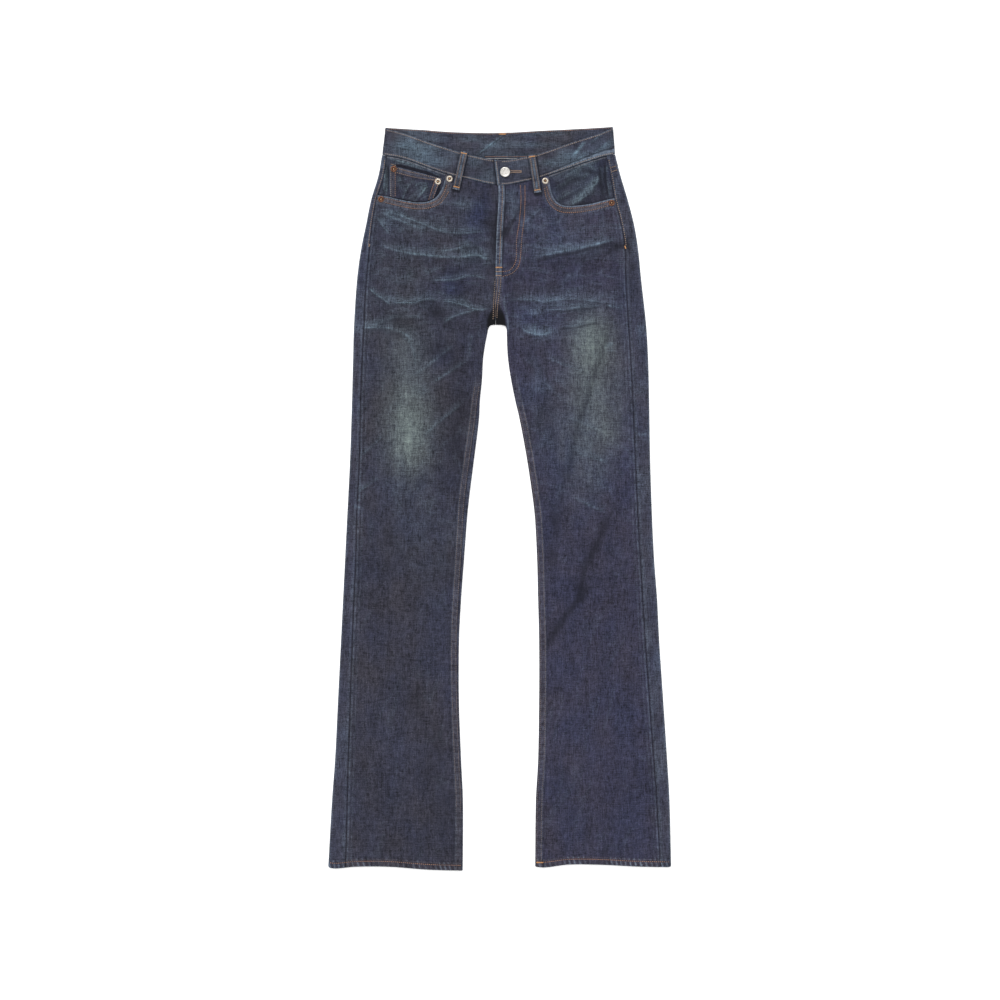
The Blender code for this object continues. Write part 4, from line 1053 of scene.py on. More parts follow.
def bandStations():
    # the strip's two edges all round the waist, with the way it faces and its height
    def station(table, topX, lowX, facing, height):
        topY = tableValue(table, "top", topX)
        lowY = tableValue(table, "bottom", lowX)
        return (topX, topY), (lowX, lowY), (0.0, facing, height)

    lap = np.linspace(0, 1, 9)[:-1]
    overlap = list(zip(mix(band["lapTop"], 6, lap), mix(band["lapBottom"], 6, lap)))
    step, height = band["step"], band["height"]
    overlap += [(x, x) for x in stepped(6, 169, step)]
    stations = [station(frontBand, topX, lowX, 1.0, height + lapRise(lowX)) for topX, lowX in overlap]
    stations += bandFold(1)
    stations += [station(backBand, x, x, -1.0, backLoopRise(x)) for x in stepped(166, -168, step)]
    stations += bandFold(-1)[::-1]
    stations += [station(frontBand, x, x, 1.0, height) for x in stepped(-172, band["lapEnd"], step)]
    return [np.array(column) for column in zip(*stations)]


def waistbandPiece(material):
    tops, bottoms, outs = bandStations()
    down = np.concatenate([[0, .008, .02, .04], np.linspace(.065, .935, band["rows"]), [.96, .98, .992, 1]])
    x = mix(tops[:, 0, None], bottoms[:, 0, None], down)
    y = mix(tops[:, 1, None], bottoms[:, 1, None], down)
    outX, outZ, height = (outs[:, k, None] for k in range(3))
    tall = np.hypot(*(tops - bottoms).T)[:, None]
    deep = tall * down
    up = tall - deep
    onFront, onBack = (outZ > .5) * 1.0, (outZ < -.5) * 1.0
    isLap = (np.arange(len(tops))[:, None] < band["lapStations"]) * 1.0
    isLeft = smooth((x - 20) / 30)
    lapLine = mix(tops[0, 0], bottoms[0, 0], down)
    waves = seamPucker(x + .3 * y, 101, 6.8)
    tick = ticks(x, 3.2, waves)
    edgeRoll = -.75 * bell(deep, .6) - .75 * bell(up, .6)
    sunk = -.22 * bell(deep - band["edgeStitch"], .8) - .22 * bell(up - band["edgeStitch"], .8)
    puffed = .12 * waves * (bell(deep - 4.5, 3) + bell(up - 4.5, 3))
    soft = .22 * patches(x, y, (34, 20), 102) + .10 * patches(x, y, (11, 12), 103)
    soft = soft + .10 * bell(up - 5.5, 2.5)
    rise = edgeRoll + sunk + puffed - .8 * isLap * bell(np.abs(x - lapLine), .9) + onFront * soft
    # a slanting streak and a row of puffs on the front
    streak = slantLine(x, y, (118, 523), (.78, .62), 2.4) * within(y, 512, 6, 538, 8) * isLeft
    puffTop = np.where(x > 40, mix(3.0, 8.5, np.clip((x - 60) / 100, 0, 1)), 4.5)
    puff = within(up, .6, 1.0, puffTop, 1.5)
    outer = np.stack([x + outX * rise, y, height + outZ * rise + onFront * (.4 * streak + .3 * puff)], -1)
    # the back's inside shows through the waist, so that face gets relief of its own
    reach = within(y, 513, 6, 547, 6)
    crease = slantLine(x, y, (-14.6, 530.2), (.62, .78), 1.8) * reach
    lowCrease = slantLine(x, y, (-2, 536), (.5, .85), 1.6) * within(y, 518, 6, 545, 6)
    inside = .25 * patches(x, y, (40, 16), 105) + .55 * crease + .3 * lowCrease
    wall = band["wall"] + edgeRoll * .8 + sunk + puffed + onBack * inside
    inner = np.stack([x - outX * wall, y, height - outZ * wall], -1)
    # wear of the front, and painted shade along its edges and rows, below its puffs, beside the lap and
    # beside the loops
    streaks = np.maximum(0, patches(x + .8 * y, y - .8 * x, (60, 5), 107)) * smooth((np.abs(x) - 50) / 40)
    worn = .10 + .22 * patches(x, y, (26, 14), 108) + .32 * streaks * isLeft - .16 * isLeft
    worn = worn + .40 * ellipses(bandFades, x, y)
    dark = .45 * bell(up, .7) + .28 * bell(up - 2.2, .8) + .25 * bell(deep - 2.2, .8)
    dark = dark + (.25 + .5 * isLeft) * bell(up - puffTop - 1.0, 1.2)
    dark = dark + .9 * onFront * (1 - isLap) * (x < 0) * bell(x - lapLine + 1.2, 2.2)
    puffShare = .25 + .75 * smooth((np.abs(x) - 55) / 30)
    edge = .30 * (1 + waves) * (bell(deep - .8, 1.2) + bell(up - .9, 1.1))
    edge = edge + puffShare * isLeft * puff * (.55 + .25 * waves + .35 * tick)
    edge = edge + .20 * (1 - isLeft) * puff * (.8 + .3 * waves)
    edge = edge + isLap * .8 * bell(x - lapLine - 1.2, 1.2) * (x < 10)
    warm = .35 * bell(up - 2.2, 1.2) + .3 * bell(deep - 2.2, 1.2)
    masks = {"light": onFront * (np.clip(worn, 0, 1) + .6 * streak) * (1 - .55 * bell(x - 14, 42)),
             "edge": edge * (.4 + .6 * onFront), "shade": onFront * np.clip(dark + loopShade(x, y), 0, 1),
             "warm": onFront * warm}
    # wear of the back's inside, darker towards its lower part, with painted shade beside its crease
    thin = slantLine(x, y, (-14.6, 530.2), (.62, .78), 1.0) * reach
    pale = .10 + .2 * patches(x, y, (30, 9), 109) + .45 * thin + .2 * lowCrease
    under = .12 * smooth((528 - y) / 14) + .25 * slantLine(x, y, (-12, 530.2), (.62, .78), 1.4)
    lining = {"light": onBack * pale, "edge": .18 * bell(deep - .8, 1.1), "shade": onBack * under}
    return clothShell("waistband_cloth", outer, inner, material, masks, coarse=1, inside=lining)


# ---- pocket facings, coin pocket, loops, patch pockets
facing = {"drop": 1.5, "tuck": 5.0}
coin = {"leftX": -165.3, "topLeft": 500.3, "rightTop": (-85.4, 479.3), "rightBottomX": -98.6, "wall": 1.0,
        "wide": 70, "tall": 48}


def pocketFacing(side, name, material):
    down = np.linspace(0, 1, 66)[:, None]
    across = np.linspace(0, 1, 108)[None, :]
    start = side * (curveValue(*seamTable(side), mix(513.0, 452.0, down)) - .6)
    x = mix(start, side * 70.0, across + 0 * down)
    low = frontTop(side, x + side * 8) - facing["tuck"]
    y = mix(frontSeam(x) - cloth["bandGap"], low, down)
    rise, light, dark = creaseWearAndShade(x, y, facingCreases[side], 160)
    along, over = .8 * x + .6 * y, .8 * y - .6 * x
    wrinkle = wanderingLines(along, over, (16, 5.5), 3.4, 131)
    face = cloth["height"] - facing["drop"]
    z = face + .2 * patches(x, y, (22, 16), 131) + np.minimum(rise, 1.1) * .8 + .2 * wrinkle
    inner = np.stack([x, y, z * 0 + face - cloth["wall"]], -1)
    edgeGap = y - frontTop(side, x)
    top = frontSeam(x) - y
    grain = .75 + .5 * patches(along, over, (14, 2.6), 136)
    light = .9 * light + .20 * wrinkle + .10 * patches(x, y, (20, 9), 134)
    light = light + ellipses(facingFades[side], x, y) * grain
    # painted shadow under the waistband's edge and beside the pocket mouth, and painted shade of the creases
    shade = .75 * bell(top - .2, .7) + .5 * bell(edgeGap, 2.6) + .75 * dark
    shade = shade + ellipses(facingDarks[side], x, y) + .12 * smooth(patches(x, y, (24, 14), 135) * 2)
    if side < 0:
        # the coin pocket's mouth gapes, and painted shadow makes a black slit above its edge
        share = np.clip((x - coin["leftX"]) / (coin["rightTop"][0] - coin["leftX"]), 0, 1)
        slit = y - mix(coin["topLeft"], coin["rightTop"][1], share)
        depth = 1.2 + 4.0 * smooth(share / .25) * smooth((1 - share) / .3)
        inSpan = within(share, .03, .05, .97, .05)
        shade = shade + 1.5 * inSpan * smooth((depth - slit) / .7)
        light = light * (1 - inSpan * smooth((depth + .6 - slit) / .8))
        light = light + .30 * inSpan * bell(slit - depth - 1.4, 1.1)
        z = z - .5 * inSpan * smooth((depth - slit) / 1.2)
    outer = np.stack([x, y, z], -1)
    masks = {"light": np.clip(light, 0, 1), "shade": np.clip(shade, 0, 1), "edge": 1.2 * bell(top - 1.7, .8),
             "warm": .9 * bell(top - 1.7, 1.1)}
    return clothShell(name, outer, inner, material, masks, coarse=3)


def coinPlace(across, down):
    right = mix(coin["rightTop"][0], coin["rightBottomX"], down)
    x = mix(coin["leftX"], right, across)
    top = mix(coin["topLeft"], coin["rightTop"][1], across)
    return x, mix(top, frontTop(-1, x) + 1.2, down)


def coinPocket(material):
    edges = np.array([0, .006, .015, .03])
    line = np.concatenate([edges, np.linspace(.05, .95, 54), 1 - edges[::-1]])
    down, across = np.meshgrid(line, line, indexing="ij")
    x, y = coinPlace(across, down)
    fromTop, fromLeft, fromRight = down * coin["tall"], across * coin["wide"], (1 - across) * coin["wide"]
    fromSide = np.minimum(fromLeft, fromRight)
    fromEdge = np.minimum(fromTop, fromSide)
    base = cloth["height"] - facing["drop"] + cloth["gap"]
    waves = seamPucker(x + y, 141, 5.5)
    rowInsets = ((fromTop, (2.6, 9.0)), (fromLeft, (2.0, 8.6)), (fromRight, (2.4, 8.6)))
    sunk = sum(bell(away - inset, .8) for away, insets in rowInsets for inset in insets)
    gape = smooth((across - .08) / .3) * smooth((1 - across) / .3) * smooth((14 - fromTop) / 14)
    rise, light, dark = creaseWearAndShade(x, y, coinCreases, 190)
    z = base + coin["wall"] - .22 * np.clip(sunk, 0, 1.2) - .6 * bell(fromEdge, .5) + .55 * gape + rise
    z = z + .14 * waves * bell(fromEdge - 5, 4) + .18 * patches(x, y, (15, 12), 142)
    outer = np.stack([x, y, z], -1)
    inner = np.stack([x, y, base + .5 * gape], -1)
    inMiddle = smooth((fromTop - 10) / 6) * smooth((fromSide - 8) / 6)
    spots = 0
    for middleX, middleY, strength in ((-108, 469, .22), (-153, 477, .26)):
        spots = spots + strength * bell(np.hypot(x - middleX, y - middleY), 9)
    light = 1.15 * light - .02 + spots
    light = light + .16 * patches(x, y, (14, 9), 143) + .12 * patches(x - .8 * y, y, (3, 14), 144)
    puffs = (.20 * bell(fromTop - 5.6, 2.5) + .14 * bell(fromSide - 5.2, 2.0)) * (1 + .6 * waves)
    # painted shade where it meets the mouth's edge, in its sunk rows and inside them
    shade = .5 * bell(y - frontTop(-1, x), 2.6) + (.5 * np.clip(dark, 0, 1) + .12) * inMiddle
    shade = shade + .34 * np.clip(sunk, 0, 1)
    shade = shade + .3 * bell(fromTop - 11.5, 1.8) + .25 * bell(fromSide - 11, 1.8)
    masks = {"light": inMiddle * light, "edge": .40 * bell(fromEdge - .9, 1.1) + puffs, "shade": shade,
             "warm": .3 * bell(fromTop - 5.8, 4) + .3 * bell(fromSide - 5.2, 4)}
    return clothShell("coin_pocket_cloth", outer, inner, material, masks, coarse=3)


def bandOver(x, y):
    # height of the front under a belt loop
    panel = cloth["height"] + foldRise(x, y) + np.where(x > centreLine(y), flyRise(x, y), 0)
    strip = band["height"] + np.where(x > -9, lapRise(x), 0)
    return mix(panel, strip, smooth((y - frontSeam(x) + 3.5) / 3))


frontLoops = (
    {"node": "belt_loop_front_right", "top": (-53.0, 519.8), "bottom": (-65.6, 462.8)},
    {"node": "belt_loop_front_left", "top": (48.1, 514.8), "bottom": (57.0, 458.6)},
)
loop = {"width": 10.5, "length": 60, "wall": 1.6, "bow": .6, "tacks": (.045, .93)}


def loopPlace(spec, share, offset):
    (x0, y0), (x1, y1) = spec["top"], spec["bottom"]
    length = math.hypot(x1 - x0, y1 - y0)
    x = mix(x0, x1, share) + (y0 - y1) / length * offset
    return x, mix(y0, y1, share) + (x1 - x0) / length * offset


def frontLoop(spec, material):
    half = loop["width"] / 2
    columns = np.array([.15, .3, .46, .62, .76, .88, .96, 1])
    shares = np.concatenate([[0, .004, .012], np.linspace(.03, .97, 56), [.988, .996, 1]])
    share, offset = np.meshgrid(shares, np.concatenate([-columns[::-1], [0], columns]) * half, indexing="ij")
    x, y = loopPlace(spec, share, offset)
    off, edge = np.abs(offset), np.abs(offset) - half
    toEnd, toFoot = np.minimum(share, 1 - share) * loop["length"], (1 - share) * loop["length"]
    tack = sum(bell((share - place) * loop["length"], 1.6) for place in loop["tacks"])
    base = bandOver(x, y) + cloth["gap"] + .25
    bow = loop["bow"] * np.sin(math.pi * share)
    waves = seamPucker(y, 151, 4.5)
    z = base + loop["wall"] + bow - .8 * bell(edge, .5) - .3 * bell(off - 3.0, .6) - .35 * bell(offset, 1.6)
    z = z - .45 * tack - .5 * bell(toEnd, .6) + .07 * waves
    outer = np.stack([x, y, z], -1)
    inner = np.stack([x, y, base + bow * .5], -1)
    rubbed = .40 * bell(edge + .9, .9) * (1 + .3 * waves)
    rubbed = rubbed + .4 * bell(toEnd - 1, 1.5) + .5 * bell(toFoot - 1.2, 1.2)
    rubbed = rubbed + .5 * bell(offset, 1.5) * smooth(.6 + patches(x, y, (6, 9), 153))
    # the shade is painted: in the stitch grooves and just above the lower tack
    masks = {"light": .06 + .2 * patches(x, y, (4, 12), 152), "edge": rubbed,
             "shade": .50 * bell(off - 2.9, .9) + .4 * bell((share - .88) * loop["length"], 1.5),
             "warm": .8 * bell(off - 3.4, 1.3)}
    return clothShell(spec["node"] + "_cloth", outer, inner, material, masks, coarse=2)


def flatPiece(name, x, y, z, wall, material):
    outer = np.stack([x, y, z], -1)
    inner = outer + np.array([0, 0, wall])
    masks = {"light": .1 + .15 * patches(x, y, (20, 20), 161), "edge": .5 * rimMask(x.shape)}
    return clothShell(name, outer, inner, material, masks, coarse=2)


def rimMask(shape):
    mask = np.zeros(shape)
    mask[0], mask[-1], mask[:, 0], mask[:, -1] = 1, 1, 1, 1
    return mask


def backLoop(place, name, material):
    low, high = tableValue(backBand, "bottom", place) + 1, tableValue(backBand, "top", place) - 1
    x, y = np.meshgrid(place + np.linspace(-5.25, 5.25, 9), np.linspace(low, high, 26), indexing="ij")
    z = .18 * bell(np.abs(x - place) - 5.25, .6) + 0 * y
    return flatPiece(name, x, y, z, cloth["patchWall"] - .2, material)


def backPocket(side, name, material):
    middle = cloth["centreBack"] + side * cloth["pocketOffset"]
    across, down = np.meshgrid(np.linspace(-1, 1, 41), np.linspace(0, 1, 41), indexing="ij")
    x = middle + across * (cloth["pocketWidth"] / 2 - cloth["pocketTaper"] * down)
    low = cloth["pocketTop"] - cloth["pocketHeight"] + cloth["pocketPoint"] * np.abs(across)
    y = mix(cloth["pocketTop"], low, down)
    rim = np.minimum(np.minimum(1 - np.abs(across), 1 - down) * 60, down * 130)
    z = .25 * bell(rim, .9)
    return flatPiece(name, x, y, z, cloth["patchWall"] - .25, material)


# ---- node materials
def feed(tree, made, values):
    # links or sets a node's inputs
    for key, value in values.items():
        if isinstance(value, bpy.types.NodeSocket):
            tree.links.new(value, made.inputs[key])
        else:
            made.inputs[key].default_value = value
    return made


def node(tree, kind, values=None, **settings):
    made = tree.nodes.new("ShaderNode" + kind)
    for key, value in settings.items():
        setattr(made, key, value)
    return feed(tree, made, values or {})


def ranged(tree, value, low, high):
    return node(tree, "MapRange", {0: value, 1: low, 2: high}).outputs[0]


def calc(tree, operation, first, second=None, third=None):
    values = {k: v for k, v in enumerate((first, second, third)) if v is not None}
    return node(tree, "Math", values, operation=operation).outputs[0]


def blend(tree, share, first, second, how="MIX"):
    made = node(tree, "Mix", data_type="RGBA", blend_type=how, clamp_factor=True)
    for socket, value in (("Factor_Float", share), ("A_Color", first), ("B_Color", second)):
        target = next(s for s in made.inputs if s.identifier == socket)
        if isinstance(value, bpy.types.NodeSocket):
            tree.links.new(value, target)
        else:
            target.default_value = value
    return next(s for s in made.outputs if s.identifier == "Result_Color")


def color(red, green, blue):
    # a display colour from 0 to 255, as the shader's own linear values
    def linear(value):
        value /= 255
        return value / 12.92 if value <= .04045 else ((value + .055) / 1.055) ** 2.4
    return (linear(red), linear(green), linear(blue), 1.0)


def nodeGroup(name, inputs, outputs):
    group = bpy.data.node_groups.new(name, "ShaderNodeTree")
    for way, sockets in (("INPUT", inputs), ("OUTPUT", outputs)):
        for label, kind in sockets.items():
            group.interface.new_socket(label, in_out=way, socket_type="NodeSocket" + kind)
    return group, group.nodes.new("NodeGroupInput"), group.nodes.new("NodeGroupOutput")


def stretchedNoise(tree, coordinates, scale, detail=2.0, rough=.55, shift=0.0):
    moved = node(tree, "Mapping", {"Vector": coordinates, "Scale": scale, "Location": (shift, shift, shift)})
    values = {"Vector": moved.outputs[0], "Scale": 1.0, "Detail": detail, "Roughness": rough}
    return node(tree, "TexNoise", values).outputs[0]


def weaveGroup():
    # uneven warp, cross threads, grain and twill, placed in millimetres with the warp along y
    group, given, made = nodeGroup("denimWeave", {"Place": "Vector", "Contrast": "Float"},
                                   {"Tone": "Float", "Height": "Float", "Fleck": "Float"})
    place = given.outputs["Place"]
    layers = (
        # scale, gain, shift
        ((.12, .010, .1), .95, 3.1), ((.40, .05, .3), 1.4, 7.7), ((.80, .09, .5), 2.8, 11.3),
        ((.09, .78, .3), 2.4, 5.9), ((.70, .66, .4), 3.4, 1.7), ((.17, .15, .1), 1.1, 8.3),
        ((.05, .04, .1), .9, 13.9),
    )
    tone = 0.0
    noises = []
    for scale, gain, shift in layers:
        noises.append(stretchedNoise(group, place, scale, 2, .6, shift))
        tone = calc(group, "MULTIPLY_ADD", calc(group, "SUBTRACT", noises[-1], .5), gain, tone)
    split = node(group, "SeparateXYZ", {0: place})
    for axis, pitch in ((0, 2.9), (1, 3.1)):
        wander = calc(group, "MULTIPLY", noises[5], 9.0)
        wave = calc(group, "MULTIPLY_ADD", split.outputs[axis], 2 * math.pi / pitch, wander)
        tone = calc(group, "MULTIPLY_ADD", calc(group, "SINE", wave), .085, tone)
    tone = calc(group, "MULTIPLY", tone, given.outputs["Contrast"])
    ribs = calc(group, "MULTIPLY_ADD", split.outputs[1], .62, split.outputs[0])
    ribs = calc(group, "SINE", calc(group, "MULTIPLY", ribs, 2 * math.pi / .95))
    height = calc(group, "MULTIPLY_ADD", noises[2], .9, calc(group, "MULTIPLY", noises[4], 1.2))
    height = calc(group, "MULTIPLY_ADD", ribs, .16, height)
    fleck = ranged(group, stretchedNoise(group, place, (.9, .45, .9), 2, .7, 9.1), .60, .72)
    tone = calc(group, "MULTIPLY_ADD", ribs, .03, tone)
    feed(group, made, {"Tone": tone, "Height": height, "Fleck": fleck})
    return group


def indigoGroup():
    # deep and dusty indigo, then the worn colours over them, then painted shade
    group, given, made = nodeGroup(
        "indigoWearAndShade",
        {"Place": "Vector", "Tone": "Float", "Fleck": "Float", "Deep": "Color", "Dusty": "Color",
         "Worn": "Color", "Wear": "Color", "Warm": "Float", "Shade": "Float", "Navy": "Float"},
        {"Color": "Color"})
    take = given.outputs
    patch = stretchedNoise(group, take["Place"], (.017, .011, .02), 3, .6, 21.0)
    base = blend(group, ranged(group, patch, .34, .66), take["Deep"], take["Dusty"])
    base = blend(group, calc(group, "MULTIPLY", take["Navy"], .8), base, color(36, 44, 76))
    wear = node(group, "SeparateColor", {0: take["Wear"]})
    whisker, fade, edge = wear.outputs[0], wear.outputs[1], wear.outputs[2]
    uneven = calc(group, "MULTIPLY_ADD", take["Tone"], .5, 1.0)
    layers = (
        # share, strength, colour
        (calc(group, "MULTIPLY", whisker, uneven), .85, take["Worn"]),
        (calc(group, "MULTIPLY", fade, uneven), .9, color(112, 124, 122)),
        (edge, .8, color(104, 116, 132)),
        (take["Warm"], .55, color(88, 78, 78)),
        (take["Fleck"], .12, color(140, 142, 150)),
    )
    for share, strength, tint in layers:
        base = blend(group, calc(group, "MULTIPLY", share, strength), base, tint)
    calm = calc(group, "MULTIPLY_ADD", fade, -.75, 1.0)
    bright = calc(group, "MAXIMUM", calc(group, "MULTIPLY_ADD", take["Tone"], calm, 1.0), .25)
    grey = node(group, "CombineColor", {0: bright, 1: bright, 2: bright}).outputs[0]
    toned = blend(group, 1.0, base, grey, "MULTIPLY")
    # painted shade: towards a near black, and past 1 to black
    dark = blend(group, calc(group, "MULTIPLY", take["Shade"], .88), toned, color(18, 19, 29))
    dark = blend(group, calc(group, "SUBTRACT", take["Shade"], 1.0), dark, color(1, 1, 1))
    group.links.new(dark, made.inputs["Color"])
    return group


denimLooks = {
    # colours of the deep, dusty and worn cloth, turn of the warp in degrees, contrast of the weave
    "frontRight": ((43, 45, 61), (48, 47, 57), (94, 111, 124), 0, .62),
    "frontLeft": ((43, 45, 66), (49, 47, 62), (94, 111, 128), 0, .62),
    "side": ((46, 49, 66), (53, 53, 65), (94, 110, 128), 0, .62),
    "waistband": ((48, 51, 66), (54, 54, 63), (88, 108, 122), 90, .62),
    "pocket": ((40, 44, 62), (47, 47, 60), (96, 113, 122), -14, .62),
    "loops": ((46, 50, 64), (50, 53, 64), (84, 106, 122), 0, .55),
}


def newMaterial(name):
    # a material, its tree and the places on the object in millimetres
    material = bpy.data.materials.new(name)
    material.use_nodes = True
    tree = material.node_tree
    place = node(tree, "TexCoord").outputs["Object"]
    return material, tree, node(tree, "Mapping", {"Vector": place, "Scale": (1000, 1000, 1000)}).outputs[0]


def finish(tree, values, height, depth, strength):
    # sets the shader, with a bump from a height
    bump = node(tree, "Bump", {"Height": height, "Distance": depth, "Strength": strength}).outputs[0]
    feed(tree, tree.nodes["Principled BSDF"], values | {"Normal": bump})


def denimMaterial(name, look):
    deep, dusty, worn, turn, contrast = look
    material, tree, placed = newMaterial(name)
    turned = node(tree, "Mapping", {"Vector": placed, "Rotation": (0, 0, math.radians(turn))}).outputs[0]
    woven = node(tree, "Group", {"Place": turned, "Contrast": contrast}, node_tree=weave).outputs
    # the attributes: wear colours, warm tint, painted shade and deeper blue
    wear = {"Wear": node(tree, "Attribute", attribute_name="wear").outputs["Color"]}
    for key in ("Warm", "Shade", "Navy"):
        wear[key] = node(tree, "Attribute", attribute_name=key.lower()).outputs["Fac"]
    dye = {"Place": placed, "Tone": woven["Tone"], "Fleck": woven["Fleck"], "Deep": color(*deep),
           "Dusty": color(*dusty), "Worn": color(*worn)}
    values = {"Base Color": node(tree, "Group", dye | wear, node_tree=indigo).outputs["Color"],
              "Roughness": calc(tree, "MULTIPLY_ADD", woven["Tone"], -.12, .86), "Specular IOR Level": .18,
              "Sheen Weight": .06, "Sheen Roughness": .5}
    finish(tree, values, woven["Height"], .0004, 1.0)
    return material


def threadMaterial(name, main, light, dull):
    material, tree, placed = newMaterial(name)
    wornAway = ranged(tree, stretchedNoise(tree, placed, (.05, .05, .05), 3, .6), .42, .62)
    strand = stretchedNoise(tree, placed, (1.4, 1.4, 1.4), 2, .6, 4.0)
    base = blend(tree, wornAway, color(*main), color(*dull))
    base = blend(tree, ranged(tree, strand, .45, .75), base, color(*light))
    finish(tree, {"Base Color": base, "Roughness": .62, "Specular IOR Level": .3}, strand, .0002, .6)
    return material


def metalMaterial(name, bright, dull, roughness, pits):
    material, tree, placed = newMaterial(name)
    stain = stretchedNoise(tree, placed, (.5, .5, .5), 4, .65, 2.0)
    spots = stretchedNoise(tree, placed, (pits, pits, pits), 3, .7, 6.0)
    base = blend(tree, ranged(tree, stain, .38, .62), color(*bright), color(*dull))
    rough = calc(tree, "MULTIPLY_ADD", stain, .25, roughness)
    finish(tree, {"Base Color": base, "Roughness": rough, "Metallic": .85}, spots, .0004, .7)
    return material


weave, indigo = weaveGroup(), indigoGroup()
denims = {key: denimMaterial(key + "Denim", look) for key, look in denimLooks.items()}
threads = {
    "copper": threadMaterial("copperThread", (142, 103, 85), (184, 144, 118), (92, 77, 76)),
    "cream": threadMaterial("creamThread", (136, 121, 114), (184, 170, 158), (92, 80, 82)),
    "faded": threadMaterial("fadedThread", (128, 106, 94), (176, 154, 134), (84, 74, 76)),
    "orange": threadMaterial("orangeThread", (176, 124, 78), (212, 168, 120), (116, 88, 70)),
    "dull": threadMaterial("dullThread", (92, 82, 86), (150, 130, 118), (60, 58, 70)),
}
metals = {
    "silver": metalMaterial("wornSilver", (226, 224, 220), (176, 172, 166), .22, 1.6),
    "nickel": metalMaterial("creamNickel", (216, 206, 192), (150, 138, 124), .30, 1.2),
    "copper": metalMaterial("darkCopper", (122, 84, 64), (64, 46, 40), .34, 1.2),
    # the post's light copper stands in for a glint, the pit's dark for the shade in a rivet's hollow
    "point": metalMaterial("copperPoint", (196, 158, 122), (120, 84, 62), .25, 1.2),
    "pit": metalMaterial("darkPit", (40, 30, 28), (24, 18, 18), .5, 1.2),
}
print("materials ready")

# ---- make the cloth
pieces = []


def keep(piece, nodes, slot):
    pieces.append((piece, nodes, slot))


for side, word in ((-1, "right"), (1, "left")):
    sidePieces = (
        # what makes it, its node, its material, its slot
        (frontPanel, "front_", denims["front" + word.capitalize()], "denim"),
        (backPanel, "back_", denims["side"], "denim"),
        (yokePanel, "yoke_", denims["side"], "denim"),
        (pocketFacing, "pocket_facing_", denims["pocket"], "faded_denim"),
        (backPocket, "back_pocket_", denims["side"], "denim"),
    )
    for make, start, material, slot in sidePieces:
        keep(make(side, start + word + "_cloth", material), [start + word], slot)
    print("panels ready:", word)
keep(waistbandPiece(denims["waistband"]), ["waistband"], "faded_denim")
keep(coinPocket(denims["pocket"]), ["coin_pocket"], "faded_denim")
for spec in frontLoops:
    keep(frontLoop(spec, denims["loops"]), [spec["node"]], "denim")
for place, word in zip(backLoopsX, ("right", "centre", "left")):
    name = "belt_loop_back_" + word
    keep(backLoop(place, name + "_cloth", denims["loops"]), [name], "denim")
clothPieces = [piece for piece, nodes, slot in pieces]
print("cloth ready:", len(clothPieces), "pieces")


# ---- stitches, laid on the finished cloth
def surfaceTree(objects):
    points, faces, start = [], [], 0
    for piece in objects:
        mesh = piece.data
        flat = np.zeros(len(mesh.vertices) * 3)
        mesh.vertices.foreach_get("co", flat)
        points.append(flat.reshape(-1, 3))
        faces += [[start + k for k in polygon.vertices] for polygon in mesh.polygons]
        start += len(mesh.vertices)
    return BVHTree.FromPolygons(np.concatenate(points).tolist(), faces)


def heightsAt(tree, places, above=True):
    # height of the cloth in millimetres at places in millimetres, seen from above or from below
    start, way = (.05, -1) if above else (-.02, 1)
    found = []
    for x, y in places:
        hit = tree.ray_cast((x * mm, y * mm, start), (0, 0, way))[0]
        found.append(hit[2] / mm if hit else np.nan)
    found = np.array(found)
    known = ~np.isnan(found)
    if not known.any():
        return np.zeros(len(found))
    return np.interp(np.arange(len(found)), np.nonzero(known)[0], found[known])


# the hidden rows press into the surface no further than "lowest"
thread = {"pitch": 3.0, "underPitch": 3.6, "share": .66, "width": 1.05, "thick": .6, "sides": 6, "sink": .30,
          "proud": .34, "flush": -.1, "lowest": -.2}


def stitchShape(starts, middles, ends, width, thick):
    # rounded stitches between three points each, sunk at both ends, as one set of vertices and faces
    rings = np.array([0, .1, .3, .5, .7, .9, 1])
    fat = np.array([.25, .75, 1, 1, 1, .75, .25])
    count, sides = len(starts), thread["sides"]
    t = rings[None, :, None]
    bow = 2 * (1 - t) * t
    line = starts[:, None] * (1 - t) ** 2 + ends[:, None] * t ** 2
    line = line + bow * (2 * middles - (starts + ends) / 2)[:, None]
    flat = ends - starts
    flat[:, 2] = 0
    flat /= np.maximum(np.linalg.norm(flat, axis=1, keepdims=True), 1e-9)
    side = np.stack([-flat[:, 1], flat[:, 0], 0 * flat[:, 0]], 1)
    angles = np.linspace(0, 2 * math.pi, sides, endpoint=False)
    wide, high = (np.cos(angles) * width / 2)[:, None], (np.sin(angles) * thick / 2)[:, None]
    ring = side[:, None, None] * wide + np.array([0, 0, 1.0]) * high
    points = line[:, :, None] + ring * fat[None, :, None, None]
    points[..., 2] = np.maximum(points[..., 2], thread["lowest"])
    ids = np.arange(count * len(rings) * sides).reshape(count, len(rings), sides)
    nextId = np.roll(ids, -1, axis=2)
    faces = np.stack([ids[:, :-1], nextId[:, :-1], nextId[:, 1:], ids[:, 1:]], -1).reshape(-1, 4).tolist()
    faces += ids[:, 0, ::-1].tolist() + ids[:, -1].tolist()
    return points.reshape(-1, 3), faces


